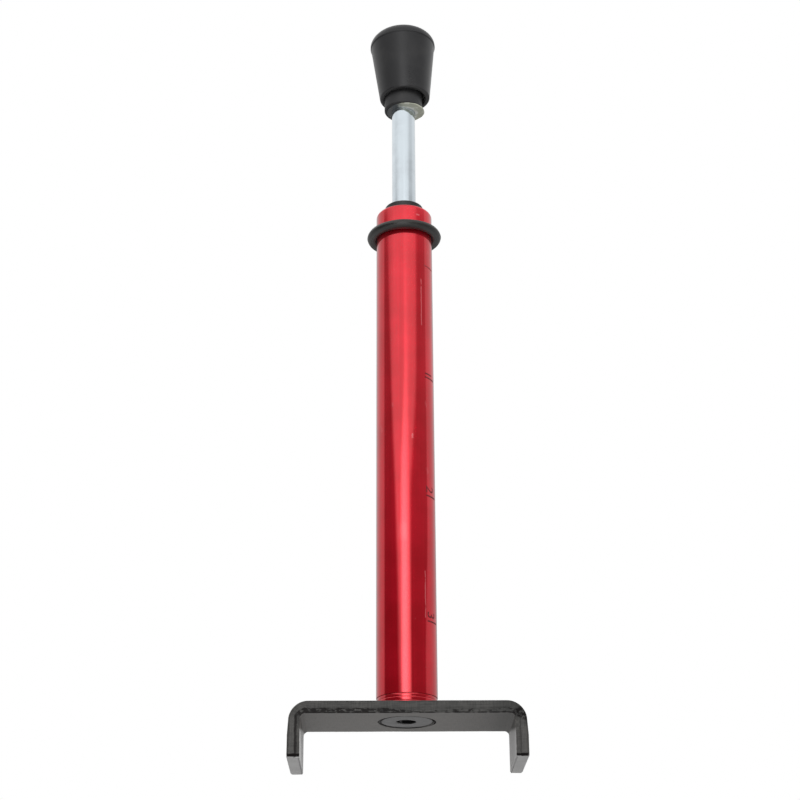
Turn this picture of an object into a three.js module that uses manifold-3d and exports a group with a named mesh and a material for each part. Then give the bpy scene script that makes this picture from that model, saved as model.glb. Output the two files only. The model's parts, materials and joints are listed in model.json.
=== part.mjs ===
// Belt tension gauge: a sprung plunger in a red barrel, standing on a cradle that sits over a belt.
// Lengths are millimetres. The origin lies on the barrel's axis, level with the tips of the cradle's
// legs. +Z runs up the barrel, X runs across the cradle and -Y is the side that is looked at.

import * as THREE from 'three';
import Module from 'manifold-3d';
import { mergeVertices } from 'three/addons/utils/BufferGeometryUtils.js';

const wasm = await Module();
wasm.setup();

// Flat sides that stand for a full round
const largeRoundSides = 48;
const smallRoundSides = 32;
const bendSegments = 8;

// Clearances
const fixedFitGap = 0.15; // around a piece that sits still in another
const runningGap = 0.15; // between pieces that slide or turn on each other
const stopGap = 0.3; // between a moving piece and its stop
const ringGap = 0.3; // between the marker ring and the barrel
const cutOverrun = 1; // how far a cut runs past what it cuts

// Cradle, bent from sheared flat bar
const barWidth = 20;
const barThickness = 2.85;
const cradleInnerWidth = 47.4;
const cradleLegReach = 9.7; // from the underside down to the leg tips
const bendInnerRadius = 1;
const bendOuterRadius = 5; // the bar thins where it stretches round the bend
const barEdgeBreak = 0.3;

// Countersunk screw in the cradle, with a hexagon socket
const screwDiameter = 6;
const screwHeadDiameter = 11.6;
const screwHeadLand = 0.2;
const screwHeadRecess = 0.1;
const screwLength = 16;
const screwTipChamfer = 0.8;
const socketAcrossFlats = 4;
const socketDepth = 2.4;
const countersinkGap = 0.3;

// Barrel
const barrelDiameter = 14;
const barrelBore = 10;
const barrelLength = 124.7;
const barrelOuterChamfer = 0.5;
const barrelInnerChamfer = 0.3;

// End plug in the barrel's foot, tapped for the cradle's screw
const plugFlangeDiameter = 13.7;
const plugFlangeHeight = 2.45;
const plugSpigotLength = 14;
const plugChamfer = 0.4;
const plugMouthChamfer = 0.6;
const flangeLineCount = 2;
const flangeLineWidth = 0.24;
const flangeLineDepth = 0.12;

// Guide bush in the barrel's mouth
const bushLength = 14.6;
const bushProud = 2.6; // how far it stands out of the barrel
const bushEdgeRadius = 0.5;
const bushChamfer = 0.4;

// Plunger rod
const rodDiameter = 6;
const rodShownLength = 28.5; // between the bush and the knob's neck, with the plunger out
const rodChamfer = 0.4;
const rodTapDepth = 9;

// Force spring and what it bears on
const wireDiameter = 1.2;
const springOuterDiameter = 9.3;
const springTurns = 28;
const springEndTurns = 1; // nearly closed, at each end
const springEndPitch = 1.7;
const springStepsPerTurn = 8;
const springWireSides = 5;
const shimThickness = 0.5;
const thrustWasherThickness = 0.8;

// Piston on the rod's inner end
const pistonHeight = 4;
const pistonNoseLength = 3;
const pistonNoseDiameter = 5.8;
const pistonChamfer = 0.4;
const pistonScrewDiameter = 3;
const pistonScrewLength = 14;
const pistonScrewHeadDiameter = 5.5;
const pistonScrewHeadHeight = 1.7;
const pistonSocketAcrossFlats = 2;
const pistonSocketDepth = 1;
const lockWasherThickness = 0.8;
const lockWasherSlit = 0.7;
const bumperThickness = 1.5;
const bumperEdgeRadius = 0.6;

// Knob: a hard neck and a rubber cap that snaps over its head
const neckDiameter = 9.9;
const neckShownLength = 4.1; // below the cap
const neckChamfer = 0.3;
const hubHeadDiameter = 12.2;
const hubHeadHeight = 4.8;
const hubHeadChamfer = 0.7;
const hubTopWall = 1.2;
const capRecessDepth = 6.1;
const capRecessDiameter = 11.1;
const capLipHeight = 2;
const capFootDiameter = 13;
const capFootRadius = 0.8;
const capConeHeight = 15.9;
const capConeTopDiameter = 16.8;
const capRimDiameter = 17.2;
const capRimHeight = 0.6;
const capDomeHeight = 4.5;
const capDomeSteps = 10;
const capCornerSteps = 3;

// Adhesive in the neck's mouth, squeezed out on one side
const gluePocketDiameter = 8.7;
const gluePocketDepth = 1.8;
const glueProud = 0.3; // below the neck all round
const glueSqueeze = 0.65; // how far it spreads over the neck's end on its heavy side
const glueFilm = 0.08; // between the spread adhesive and the neck's end
const glueHeavySide = -0.35; // radians from +X towards +Y
const glueSides = 40;

// Marker ring
const markerOuterDiameter = 18.6;
const markerBelowMouth = 6.3; // from the barrel's mouth down to the ring's middle
const markerTilt = 0.061; // radians, front edge down
const markerSectionSides = 12;

// Levels up the gauge
const cradleUnderside = cradleLegReach;
const cradleTop = cradleUnderside + barThickness;
const barrelFoot = cradleTop + plugFlangeHeight;
const barrelMouth = barrelFoot + barrelLength;
const bushTop = barrelMouth + bushProud;
const bushFoot = bushTop - bushLength;
const bumperFoot = bushFoot - stopGap - bumperThickness;
const pistonFoot = bumperFoot - pistonHeight;
const thrustWasherFoot = pistonFoot - runningGap - thrustWasherThickness;
const shimFoot = barrelFoot + plugSpigotLength;
const springFoot = shimFoot + shimThickness;
const neckFoot = bushTop + rodShownLength;
const capFoot = neckFoot + neckShownLength;
const capLipFoot = capFoot + capRecessDepth;
const hubHeadFoot = capLipFoot + capLipHeight + fixedFitGap;
const hubTop = hubHeadFoot + hubHeadHeight;
const rodTop = hubTop - hubTopWall - fixedFitGap;
const markerHeight = barrelMouth - markerBelowMouth;

// Radii that more than one piece follows
const boreRadius = barrelBore / 2;
const rodRadius = rodDiameter / 2;
const screwRadius = screwDiameter / 2;
const pistonScrewRadius = pistonScrewDiameter / 2;
const insertRadius = boreRadius - fixedFitGap; // fixed pieces inside the barrel
const slidingRadius = boreRadius - runningGap; // moving pieces inside the barrel
const coilRadius = (springOuterDiameter - wireDiameter) / 2;
const noseRadius = pistonNoseDiameter / 2;
const neckRadius = neckDiameter / 2;

// Shape helpers

// Revolves a closed outline about Z. Its [radius, height] points run anticlockwise, outer side up.
function revolve(outline, sides) {
  const points = outline.map(([radius, height]) => new THREE.Vector2(radius, height));
  const turned = new THREE.LatheGeometry(points, sides);
  turned.rotateX(Math.PI / 2);
  return turned;
}

// Closes an outline on itself, for a piece with a hole through it.
function closed(outline) {
  return [...outline, outline[0]];
}

// Points of an elliptic arc about a centre, from one angle to another, ends included.
function arc([centreRadius, centreHeight], [radius, height], fromAngle, toAngle, steps) {
  const points = [];
  for (let step = 0; step <= steps; step += 1) {
    const angle = fromAngle + ((toAngle - fromAngle) * step) / steps;
    points.push([centreRadius + radius * Math.cos(angle), centreHeight + height * Math.sin(angle)]);
  }
  return points;
}

// A flat ring, from its foot up.
function washer(innerRadius, outerRadius, thickness, sides) {
  return revolve(
    closed([
      [innerRadius, 0],
      [outerRadius, 0],
      [outerRadius, thickness],
      [innerRadius, thickness],
    ]),
    sides,
  );
}

// Turns a closed geometry into a solid that can be cut.
function solidOf(geometry) {
  const bare = geometry.clone();
  bare.deleteAttribute('normal');
  bare.deleteAttribute('uv');
  const merged = mergeVertices(bare);
  return new wasm.Manifold(
    new wasm.Mesh({
      numProp: 3,
      vertProperties: merged.getAttribute('position').array,
      triVerts: new Uint32Array(merged.getIndex().array),
    }),
  );
}

// Takes one closed geometry away from another.
function cut(body, tool) {
  const mesh = solidOf(body).subtract(solidOf(tool)).getMesh();
  const result = new THREE.BufferGeometry();
  result.setAttribute('position', new THREE.BufferAttribute(mesh.vertProperties, 3));
  result.setIndex(new THREE.BufferAttribute(mesh.triVerts, 1));
  result.computeVertexNormals();
  return result;
}

// A hexagonal prism across flats, from a floor height down past zero.
function hexagonCut(acrossFlats, depth) {
  const cornerRadius = acrossFlats / Math.sqrt(3);
  const length = depth + cutOverrun;
  const prism = new THREE.CylinderGeometry(cornerRadius, cornerRadius, length, 6);
  prism.rotateX(Math.PI / 2);
  prism.translate(0, 0, depth - length / 2);
  return prism;
}

// Cradle

function cradleGeometry() {
  const innerHalf = cradleInnerWidth / 2;
  const outerHalf = innerHalf + barThickness;
  const innerBendX = innerHalf - bendInnerRadius;
  const innerBendZ = cradleUnderside - bendInnerRadius;
  const outerBendX = outerHalf - bendOuterRadius;
  const outerBendZ = cradleTop - bendOuterRadius;
  const section = new THREE.Shape();
  section.moveTo(-outerHalf, 0);
  section.lineTo(-innerHalf, 0);
  section.lineTo(-innerHalf, innerBendZ);
  section.absarc(-innerBendX, innerBendZ, bendInnerRadius, Math.PI, Math.PI / 2, true);
  section.lineTo(innerBendX, cradleUnderside);
  section.absarc(innerBendX, innerBendZ, bendInnerRadius, Math.PI / 2, 0, true);
  section.lineTo(innerHalf, 0);
  section.lineTo(outerHalf, 0);
  section.lineTo(outerHalf, outerBendZ);
  section.absarc(outerBendX, outerBendZ, bendOuterRadius, 0, Math.PI / 2, false);
  section.lineTo(-outerBendX, cradleTop);
  section.absarc(-outerBendX, outerBendZ, bendOuterRadius, Math.PI / 2, Math.PI, false);
  const bar = new THREE.ExtrudeGeometry(section, {
    depth: barWidth - 2 * barEdgeBreak,
    curveSegments: bendSegments,
    bevelThickness: barEdgeBreak,
    bevelSize: barEdgeBreak,
    bevelOffset: -barEdgeBreak,
    bevelSegments: 1,
  });
  bar.translate(0, 0, barEdgeBreak - barWidth / 2);
  bar.rotateX(Math.PI / 2);
  return cut(bar, countersinkGeometry());
}

function countersinkGeometry() {
  const mouthRadius = screwHeadDiameter / 2 + countersinkGap;
  const throatRadius = screwRadius + countersinkGap;
  const land = screwHeadRecess + screwHeadLand;
  const tool = revolve(
    [
      [0, -cutOverrun],
      [mouthRadius, -cutOverrun],
      [mouthRadius, land],
      [throatRadius, land + mouthRadius - throatRadius],
      [throatRadius, land + mouthRadius + cutOverrun],
      [0, land + mouthRadius + cutOverrun],
    ],
    largeRoundSides,
  );
  tool.translate(0, 0, cradleUnderside);
  return tool;
}

// Its head's end face is at zero and its shank points up.
function cradleScrewGeometry() {
  const headRadius = screwHeadDiameter / 2;
  const headDepth = screwHeadLand + headRadius - screwRadius;
  const blank = revolve(
    [
      [0, 0],
      [headRadius, 0],
      [headRadius, screwHeadLand],
      [screwRadius, headDepth],
      [screwRadius, screwLength - screwTipChamfer],
      [screwRadius - screwTipChamfer, screwLength],
      [0, screwLength],
    ],
    largeRoundSides,
  );
  return cut(blank, hexagonCut(socketAcrossFlats, socketDepth));
}

// Barrel and the pieces fixed in it

function endPlugGeometry() {
  const flangeRadius = plugFlangeDiameter / 2;
  const tapRadius = screwRadius + fixedFitGap;
  const height = plugFlangeHeight + plugSpigotLength;
  const lines = [];
  for (let line = 1; line <= flangeLineCount; line += 1) {
    const centre = (plugFlangeHeight * line) / (flangeLineCount + 1);
    lines.push([flangeRadius, centre - flangeLineWidth / 2]);
    lines.push([flangeRadius - flangeLineDepth, centre]);
    lines.push([flangeRadius, centre + flangeLineWidth / 2]);
  }
  return revolve(
    closed([
      [tapRadius + plugMouthChamfer, 0],
      [flangeRadius - plugChamfer, 0],
      [flangeRadius, plugChamfer],
      ...lines,
      [flangeRadius, plugFlangeHeight],
      [insertRadius, plugFlangeHeight],
      [insertRadius, height - plugChamfer],
      [insertRadius - plugChamfer, height],
      [tapRadius, height],
      [tapRadius, plugMouthChamfer],
    ]),
    largeRoundSides,
  );
}

function barrelGeometry() {
  const outerRadius = barrelDiameter / 2;
  return revolve(
    closed([
      [boreRadius + barrelInnerChamfer, 0],
      [outerRadius, 0],
      [outerRadius, barrelLength - barrelOuterChamfer],
      [outerRadius - barrelOuterChamfer, barrelLength],
      [boreRadius + barrelInnerChamfer, barrelLength],
      [boreRadius, barrelLength - barrelInnerChamfer],
      [boreRadius, barrelInnerChamfer],
    ]),
    largeRoundSides,
  );
}

function guideBushGeometry() {
  const innerRadius = rodRadius + runningGap;
  const edgeCentre = [insertRadius - bushEdgeRadius, bushLength - bushEdgeRadius];
  return revolve(
    closed([
      [innerRadius + bushChamfer, 0],
      [insertRadius - bushChamfer, 0],
      [insertRadius, bushChamfer],
      ...arc(edgeCentre, [bushEdgeRadius, bushEdgeRadius], 0, Math.PI / 2, capCornerSteps),
      [innerRadius + bushChamfer, bushLength],
      [innerRadius, bushLength - bushChamfer],
      [innerRadius, bushChamfer],
    ]),
    smallRoundSides,
  );
}

// Spring

// Height of the wire's centre above the spring's foot, so many turns up a spring of a given length.
function coilHeight(turn, length) {
  const endRise = springEndTurns * springEndPitch;
  const pitch = (length - wireDiameter - 2 * endRise) / springTurns;
  const lower = Math.min(turn, springEndTurns);
  const active = Math.min(Math.max(turn - springEndTurns, 0), springTurns);
  const upper = Math.max(turn - springEndTurns - springTurns, 0);
  return wireDiameter / 2 + springEndPitch * (lower + upper) + pitch * active;
}

// The wire's centre line: eight points a turn, with a straight, level run of one wire at each end.
function coilPath(length) {
  const steps = (springTurns + 2 * springEndTurns) * springStepsPerTurn;
  const path = [];
  for (let step = 0; step <= steps; step += 1) {
    const turn = step / springStepsPerTurn;
    const angle = 2 * Math.PI * turn;
    const height = coilHeight(turn, length);
    path.push(new THREE.Vector3(coilRadius * Math.cos(angle), coilRadius * Math.sin(angle), height));
  }
  const lastAngle = (2 * Math.PI * steps) / springStepsPerTurn;
  const along = new THREE.Vector3(-Math.sin(lastAngle), Math.cos(lastAngle), 0);
  path.push(path[path.length - 1].clone().addScaledVector(along, wireDiameter));
  path.unshift(path[0].clone().add(new THREE.Vector3(0, -wireDiameter, 0)));
  return path;
}

// The least gap between two stretches of wire that lie more than half a turn apart.
function leastCoilGap(path) {
  let least = Infinity;
  path.forEach((point, index) => {
    for (let other = index + springStepsPerTurn / 2; other < path.length; other += 1) {
      least = Math.min(least, point.distanceTo(path[other]) - wireDiameter);
    }
  });
  return least;
}

function springGeometry(path) {
  const positions = [];
  const axis = new THREE.Vector3(0, 0, 1);
  path.forEach((point, index) => {
    const before = path[Math.max(index - 1, 0)];
    const after = path[Math.min(index + 1, path.length - 1)];
    const along = after.clone().sub(before).normalize();
    const outward = along.clone().cross(axis).normalize();
    const across = outward.clone().cross(along);
    for (let side = 0; side < springWireSides; side += 1) {
      const angle = (2 * Math.PI * side) / springWireSides;
      const corner = point
        .clone()
        .addScaledVector(outward, (wireDiameter / 2) * Math.cos(angle))
        .addScaledVector(across, (wireDiameter / 2) * Math.sin(angle));
      positions.push(corner.x, corner.y, corner.z);
    }
  });
  const faces = [];
  for (let ring = 0; ring < path.length - 1; ring += 1) {
    for (let side = 0; side < springWireSides; side += 1) {
      const here = ring * springWireSides + side;
      const beside = ring * springWireSides + ((side + 1) % springWireSides);
      faces.push(here, here + springWireSides, beside);
      faces.push(beside, here + springWireSides, beside + springWireSides);
    }
  }
  const lastRing = (path.length - 1) * springWireSides;
  for (let side = 1; side < springWireSides - 1; side += 1) {
    faces.push(0, side, side + 1);
    faces.push(lastRing, lastRing + side + 1, lastRing + side);
  }
  const wire = new THREE.BufferGeometry();
  wire.setAttribute('position', new THREE.Float32BufferAttribute(positions, 3));
  wire.setIndex(faces);
  wire.computeVertexNormals();
  return wire;
}

// Plunger: rod, piston and their fasteners

function rodGeometry() {
  const length = rodTop - bumperFoot;
  const tapRadius = pistonScrewRadius + fixedFitGap;
  return revolve(
    [
      [0, rodTapDepth],
      [tapRadius, rodTapDepth],
      [tapRadius, 0],
      [rodRadius - rodChamfer, 0],
      [rodRadius, rodChamfer],
      [rodRadius, length - rodChamfer],
      [rodRadius - rodChamfer, length],
      [0, length],
    ],
    smallRoundSides,
  );
}

// Zero is the face that the thrust washer bears on. The nose hangs below it, inside the spring.
function pistonGeometry() {
  const holeRadius = pistonScrewRadius + fixedFitGap;
  return revolve(
    closed([
      [holeRadius, -pistonNoseLength],
      [noseRadius - pistonChamfer, -pistonNoseLength],
      [noseRadius, pistonChamfer - pistonNoseLength],
      [noseRadius, 0],
      [slidingRadius - pistonChamfer, 0],
      [slidingRadius, pistonChamfer],
      [slidingRadius, pistonHeight - pistonChamfer],
      [slidingRadius - pistonChamfer, pistonHeight],
      [holeRadius, pistonHeight],
    ]),
    smallRoundSides,
  );
}

// Its head's end face is at zero and its shank points up.
function pistonScrewGeometry() {
  const headRadius = pistonScrewHeadDiameter / 2;
  const length = pistonScrewHeadHeight + pistonScrewLength;
  const blank = revolve(
    [
      [0, 0],
      [headRadius - pistonChamfer, 0],
      [headRadius, pistonChamfer],
      [headRadius, pistonScrewHeadHeight],
      [pistonScrewRadius, pistonScrewHeadHeight],
      [pistonScrewRadius, length - pistonChamfer],
      [pistonScrewRadius - pistonChamfer, length],
      [0, length],
    ],
    smallRoundSides,
  );
  return cut(blank, hexagonCut(pistonSocketAcrossFlats, pistonSocketDepth));
}

function lockWasherGeometry() {
  const innerRadius = pistonScrewRadius + fixedFitGap;
  const outerRadius = pistonScrewHeadDiameter / 2;
  const ring = washer(innerRadius, outerRadius, lockWasherThickness, smallRoundSides);
  const slitLength = outerRadius + cutOverrun;
  const slit = new THREE.BoxGeometry(slitLength, lockWasherSlit, lockWasherThickness + 2 * cutOverrun);
  slit.translate(slitLength / 2, 0, lockWasherThickness / 2);
  return cut(ring, slit);
}

function bumperGeometry() {
  const innerRadius = rodRadius + fixedFitGap;
  const outerRadius = slidingRadius - pistonChamfer;
  const lowCentre = [outerRadius - bumperEdgeRadius, bumperEdgeRadius];
  const highCentre = [outerRadius - bumperEdgeRadius, bumperThickness - bumperEdgeRadius];
  const round = [bumperEdgeRadius, bumperEdgeRadius];
  return revolve(
    closed([
      [innerRadius, 0],
      ...arc(lowCentre, round, -Math.PI / 2, 0, capCornerSteps),
      ...arc(highCentre, round, 0, Math.PI / 2, capCornerSteps),
      [innerRadius, bumperThickness],
    ]),
    smallRoundSides,
  );
}

// Knob

// Zero is the neck's lower end. The head at the top holds the rubber cap.
function knobHubGeometry() {
  const holeRadius = rodRadius + fixedFitGap;
  const pocketRadius = gluePocketDiameter / 2;
  const headRadius = hubHeadDiameter / 2;
  const headFoot = hubHeadFoot - neckFoot;
  const top = hubTop - neckFoot;
  const holeTop = top - hubTopWall;
  return revolve(
    [
      [0, holeTop],
      [holeRadius, holeTop],
      [holeRadius, gluePocketDepth],
      [pocketRadius, gluePocketDepth],
      [pocketRadius, 0],
      [neckRadius - neckChamfer, 0],
      [neckRadius, neckChamfer],
      [neckRadius, headFoot],
      [headRadius, headFoot],
      [headRadius, top - hubHeadChamfer],
      [headRadius - hubHeadChamfer, top],
      [0, top],
    ],
    largeRoundSides,
  );
}

// Zero is the cap's lower edge. The recess round the neck leads to a lip that grips under the head.
function knobCapGeometry() {
  const recessRadius = capRecessDiameter / 2;
  const lipRadius = neckRadius + fixedFitGap;
  const cavityRadius = hubHeadDiameter / 2 + fixedFitGap;
  const cavityFoot = capRecessDepth + capLipHeight;
  const cavityTop = hubTop - capFoot + fixedFitGap;
  const footCentre = [capFootDiameter / 2 - capFootRadius, capFootRadius];
  const coneTopRadius = capConeTopDiameter / 2;
  const rimRadius = capRimDiameter / 2;
  const rimTop = capConeHeight + capRimHeight;
  return revolve(
    [
      [0, cavityTop],
      [cavityRadius, cavityTop],
      [cavityRadius, cavityFoot],
      [lipRadius, cavityFoot],
      [lipRadius, capRecessDepth],
      [recessRadius, capRecessDepth],
      [recessRadius, 0],
      ...arc(footCentre, [capFootRadius, capFootRadius], -Math.PI / 2, 0, capCornerSteps),
      [coneTopRadius, capConeHeight],
      [rimRadius, capConeHeight],
      ...arc([0, rimTop], [rimRadius, capDomeHeight], 0, Math.PI / 2, capDomeSteps),
    ],
    largeRoundSides,
  );
}

// Zero is the neck's lower end. Below it the ring spreads out on its heavy side.
function glueBeadGeometry() {
  const innerRadius = rodRadius + fixedFitGap;
  const edgeRadius = gluePocketDiameter / 2;
  const stemRadius = edgeRadius - fixedFitGap;
  const ring = revolve(
    closed([
      [innerRadius, -glueProud],
      [edgeRadius, -glueProud],
      [edgeRadius, -glueFilm],
      [stemRadius, -glueFilm],
      [stemRadius, gluePocketDepth - fixedFitGap],
      [innerRadius, gluePocketDepth - fixedFitGap],
    ]),
    glueSides,
  );
  const places = ring.getAttribute('position');
  for (let index = 0; index < places.count; index += 1) {
    const x = places.getX(index);
    const y = places.getY(index);
    const radius = Math.hypot(x, y);
    if (radius > stemRadius + glueFilm) {
      const heavy = (1 + Math.cos(Math.atan2(y, x) - glueHeavySide)) / 2;
      const swollen = (radius + glueSqueeze * heavy ** 2) / radius;
      places.setXY(index, x * swollen, y * swollen);
    }
  }
  return ring;
}

// Marker ring

function markerRingGeometry() {
  const sectionRadius = (markerOuterDiameter - barrelDiameter - 2 * ringGap) / 4;
  const ringRadius = markerOuterDiameter / 2 - sectionRadius;
  return new THREE.TorusGeometry(ringRadius, sectionRadius, markerSectionSides, largeRoundSides);
}

// Materials

function material(color, roughness, metalness) {
  return new THREE.MeshStandardMaterial({ color, roughness, metalness });
}

const blackenedSteel = material(0x4a4848, 0.5, 0.7);
const redAnodised = material(0xc41c26, 0.25, 0.9);
const brightPlated = material(0xd3dce2, 0.2, 1);
const springSteel = material(0x9a9a96, 0.3, 1);
const zincPlated = material(0xb9bcbc, 0.35, 0.9);
const turnedBrass = material(0xb59a55, 0.35, 0.9);
const blackPlastic = material(0x242426, 0.45, 0);
const blackRubber = material(0x2c2c2d, 0.6, 0);
const darkRubber = material(0x1b1b1c, 0.5, 0);
const curedAdhesive = material(0xc9c7a2, 0.3, 0);

// Assembly

function piece(name, geometry, finish, height) {
  const mesh = new THREE.Mesh(geometry, finish.clone());
  mesh.name = name;
  mesh.position.z = height;
  return mesh;
}

const springLength = thrustWasherFoot - springFoot;
const springPath = coilPath(springLength);
console.log(`least gap between the spring's turns: ${leastCoilGap(springPath).toFixed(2)} mm`);

const body = new THREE.Group();
const shim = washer(screwRadius + fixedFitGap, insertRadius - fixedFitGap, shimThickness, smallRoundSides);
body.add(
  piece('belt_cradle', cradleGeometry(), blackenedSteel, 0),
  piece('cradle_screw', cradleScrewGeometry(), blackenedSteel, cradleUnderside + screwHeadRecess),
  piece('end_plug', endPlugGeometry(), redAnodised, cradleTop),
  piece('barrel', barrelGeometry(), redAnodised, barrelFoot),
  piece('guide_bush', guideBushGeometry(), blackPlastic, bushFoot),
  piece('preload_shim', shim, zincPlated, shimFoot),
  piece('force_spring', springGeometry(springPath), springSteel, springFoot),
);

const plunger = new THREE.Group();
plunger.position.z = pistonFoot;
const thrustWasher = washer(
  noseRadius + runningGap,
  slidingRadius - runningGap,
  thrustWasherThickness,
  smallRoundSides,
);
const lockWasherDrop = pistonNoseLength + lockWasherThickness;
plunger.add(
  piece('thrust_washer', thrustWasher, zincPlated, thrustWasherFoot - pistonFoot),
  piece('piston', pistonGeometry(), turnedBrass, 0),
  piece('lock_washer', lockWasherGeometry(), zincPlated, -lockWasherDrop),
  piece('piston_screw', pistonScrewGeometry(), zincPlated, -lockWasherDrop - pistonScrewHeadHeight),
  piece('return_bumper', bumperGeometry(), darkRubber, pistonHeight),
  piece('plunger_rod', rodGeometry(), brightPlated, pistonHeight),
);

const knob = new THREE.Group();
knob.position.z = neckFoot - pistonFoot;
knob.add(
  piece('knob_hub', knobHubGeometry(), blackPlastic, 0),
  piece('glue_bead', glueBeadGeometry(), curedAdhesive, 0),
  piece('knob_cap', knobCapGeometry(), blackRubber, neckShownLength),
);
plunger.add(knob);

const marker = piece('marker_ring', markerRingGeometry(), darkRubber, markerHeight);
marker.rotation.x = markerTilt;

const gauge = new THREE.Group();
gauge.add(body, plunger, marker);

export default gauge;
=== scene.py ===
"""Looks of the belt tension gauge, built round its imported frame.

Lengths are metres in the frame's own axes: +Z up the barrel, X across the cradle, -Y to the viewer.
Sizes are written as millimetres times MM.
"""

import json
import logging
import math
from contextlib import contextmanager
from dataclasses import dataclass, field
from enum import Enum, StrEnum, auto
from functools import cache
from itertools import pairwise
from typing import Any, Callable, Iterator, Sequence

import bpy
from mathutils import Matrix, Vector, noise


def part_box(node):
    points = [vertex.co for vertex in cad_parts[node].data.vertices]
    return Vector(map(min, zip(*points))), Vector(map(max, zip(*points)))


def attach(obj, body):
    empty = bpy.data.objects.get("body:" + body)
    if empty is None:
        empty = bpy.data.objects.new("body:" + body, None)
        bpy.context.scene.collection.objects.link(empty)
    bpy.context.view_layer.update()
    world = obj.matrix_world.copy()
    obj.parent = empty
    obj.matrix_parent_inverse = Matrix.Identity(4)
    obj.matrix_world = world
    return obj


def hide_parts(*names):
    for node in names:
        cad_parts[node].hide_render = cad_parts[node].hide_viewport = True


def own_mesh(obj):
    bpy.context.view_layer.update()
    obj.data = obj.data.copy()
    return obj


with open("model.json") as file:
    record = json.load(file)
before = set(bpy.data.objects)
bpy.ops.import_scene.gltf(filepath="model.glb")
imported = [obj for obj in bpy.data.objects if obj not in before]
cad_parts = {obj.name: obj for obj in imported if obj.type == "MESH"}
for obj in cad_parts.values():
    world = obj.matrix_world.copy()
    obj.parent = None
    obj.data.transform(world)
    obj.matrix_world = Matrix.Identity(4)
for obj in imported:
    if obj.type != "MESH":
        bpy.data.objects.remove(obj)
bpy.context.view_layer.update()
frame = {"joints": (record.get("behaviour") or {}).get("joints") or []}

MM = 0.001
FULL_TURN = 2 * math.pi
WELD = 0.0005 * MM
SOFT = 0.1 * MM  # fillet that takes the sharpness off a turned edge
SHAFT_HOLE = 3.15 * MM  # radius of every hole round the rod and the cradle's screw
LEAD = 0.5 * MM  # how far a socket's cutters start outside the head
SOCKET_TURN = math.radians(34)
WHITE = (1.0, 1.0, 1.0, 1.0)

logging.basicConfig(level=logging.INFO, format="%(name)s: %(message)s")
log = logging.getLogger("belt_gauge")

Colour = tuple[float, float, float]
Corner = tuple[float, ...]
Outline = list[tuple[float, float]]
Piece = bpy.types.Object


class Body(Enum):
    """The frame's bodies that a piece can ride on."""

    GAUGE = "gauge_body"
    SPRING_END = "spring_end"
    PLUNGER = "plunger"
    MARKER = "marker"


class Slot(StrEnum):
    """The record's material slots, whose values are these names in small letters."""

    BLACKENED_STEEL = auto()
    BLACKENED_SCREW = auto()
    RED_ANODISED = auto()
    BRIGHT_PLATED = auto()
    SPRING_STEEL = auto()
    ZINC_PLATED = auto()
    TURNED_BRASS = auto()
    BLACK_PLASTIC = auto()
    KNOB_RUBBER = auto()
    RING_RUBBER = auto()
    CURED_ADHESIVE = auto()


# Materials


@dataclass(frozen=True)
class Pattern:
    """Smooth noise: cells per unit of length, the same every way or along each axis, and its detail."""

    cells: float | Corner
    detail: float = 2.0
    turn: Corner = (0, 0, 0)
    roughness: float = 0.5


class Wire:
    """What a node gives out. Arithmetic on it adds Math nodes."""

    def __init__(self, graph: "Graph", socket: bpy.types.NodeSocket) -> None:
        """Keeps the socket and the graph that it belongs to."""
        self.graph = graph
        self.socket = socket

    def __add__(self, other: "Number") -> "Wire":
        """Adds."""
        return self.graph.math("ADD", self, other)

    __radd__ = __add__

    def __sub__(self, other: "Number") -> "Wire":
        """Subtracts."""
        return self.graph.math("SUBTRACT", self, other)

    def __rsub__(self, other: "Number") -> "Wire":
        """Subtracts from a number."""
        return self.graph.math("SUBTRACT", other, self)

    def __mul__(self, other: "Number") -> "Wire":
        """Multiplies."""
        return self.graph.math("MULTIPLY", self, other)

    __rmul__ = __mul__

    def __abs__(self) -> "Wire":
        """Drops the sign."""
        return self.graph.math("ABSOLUTE", self)

    def __and__(self, other: "Number") -> "Wire":
        """The smaller of two masks."""
        return self.graph.math("MINIMUM", self, other)

    __rand__ = __and__

    def __or__(self, other: "Number") -> "Wire":
        """The larger of two masks."""
        return self.graph.math("MAXIMUM", self, other)

    __ror__ = __or__


Number = Wire | float


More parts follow.
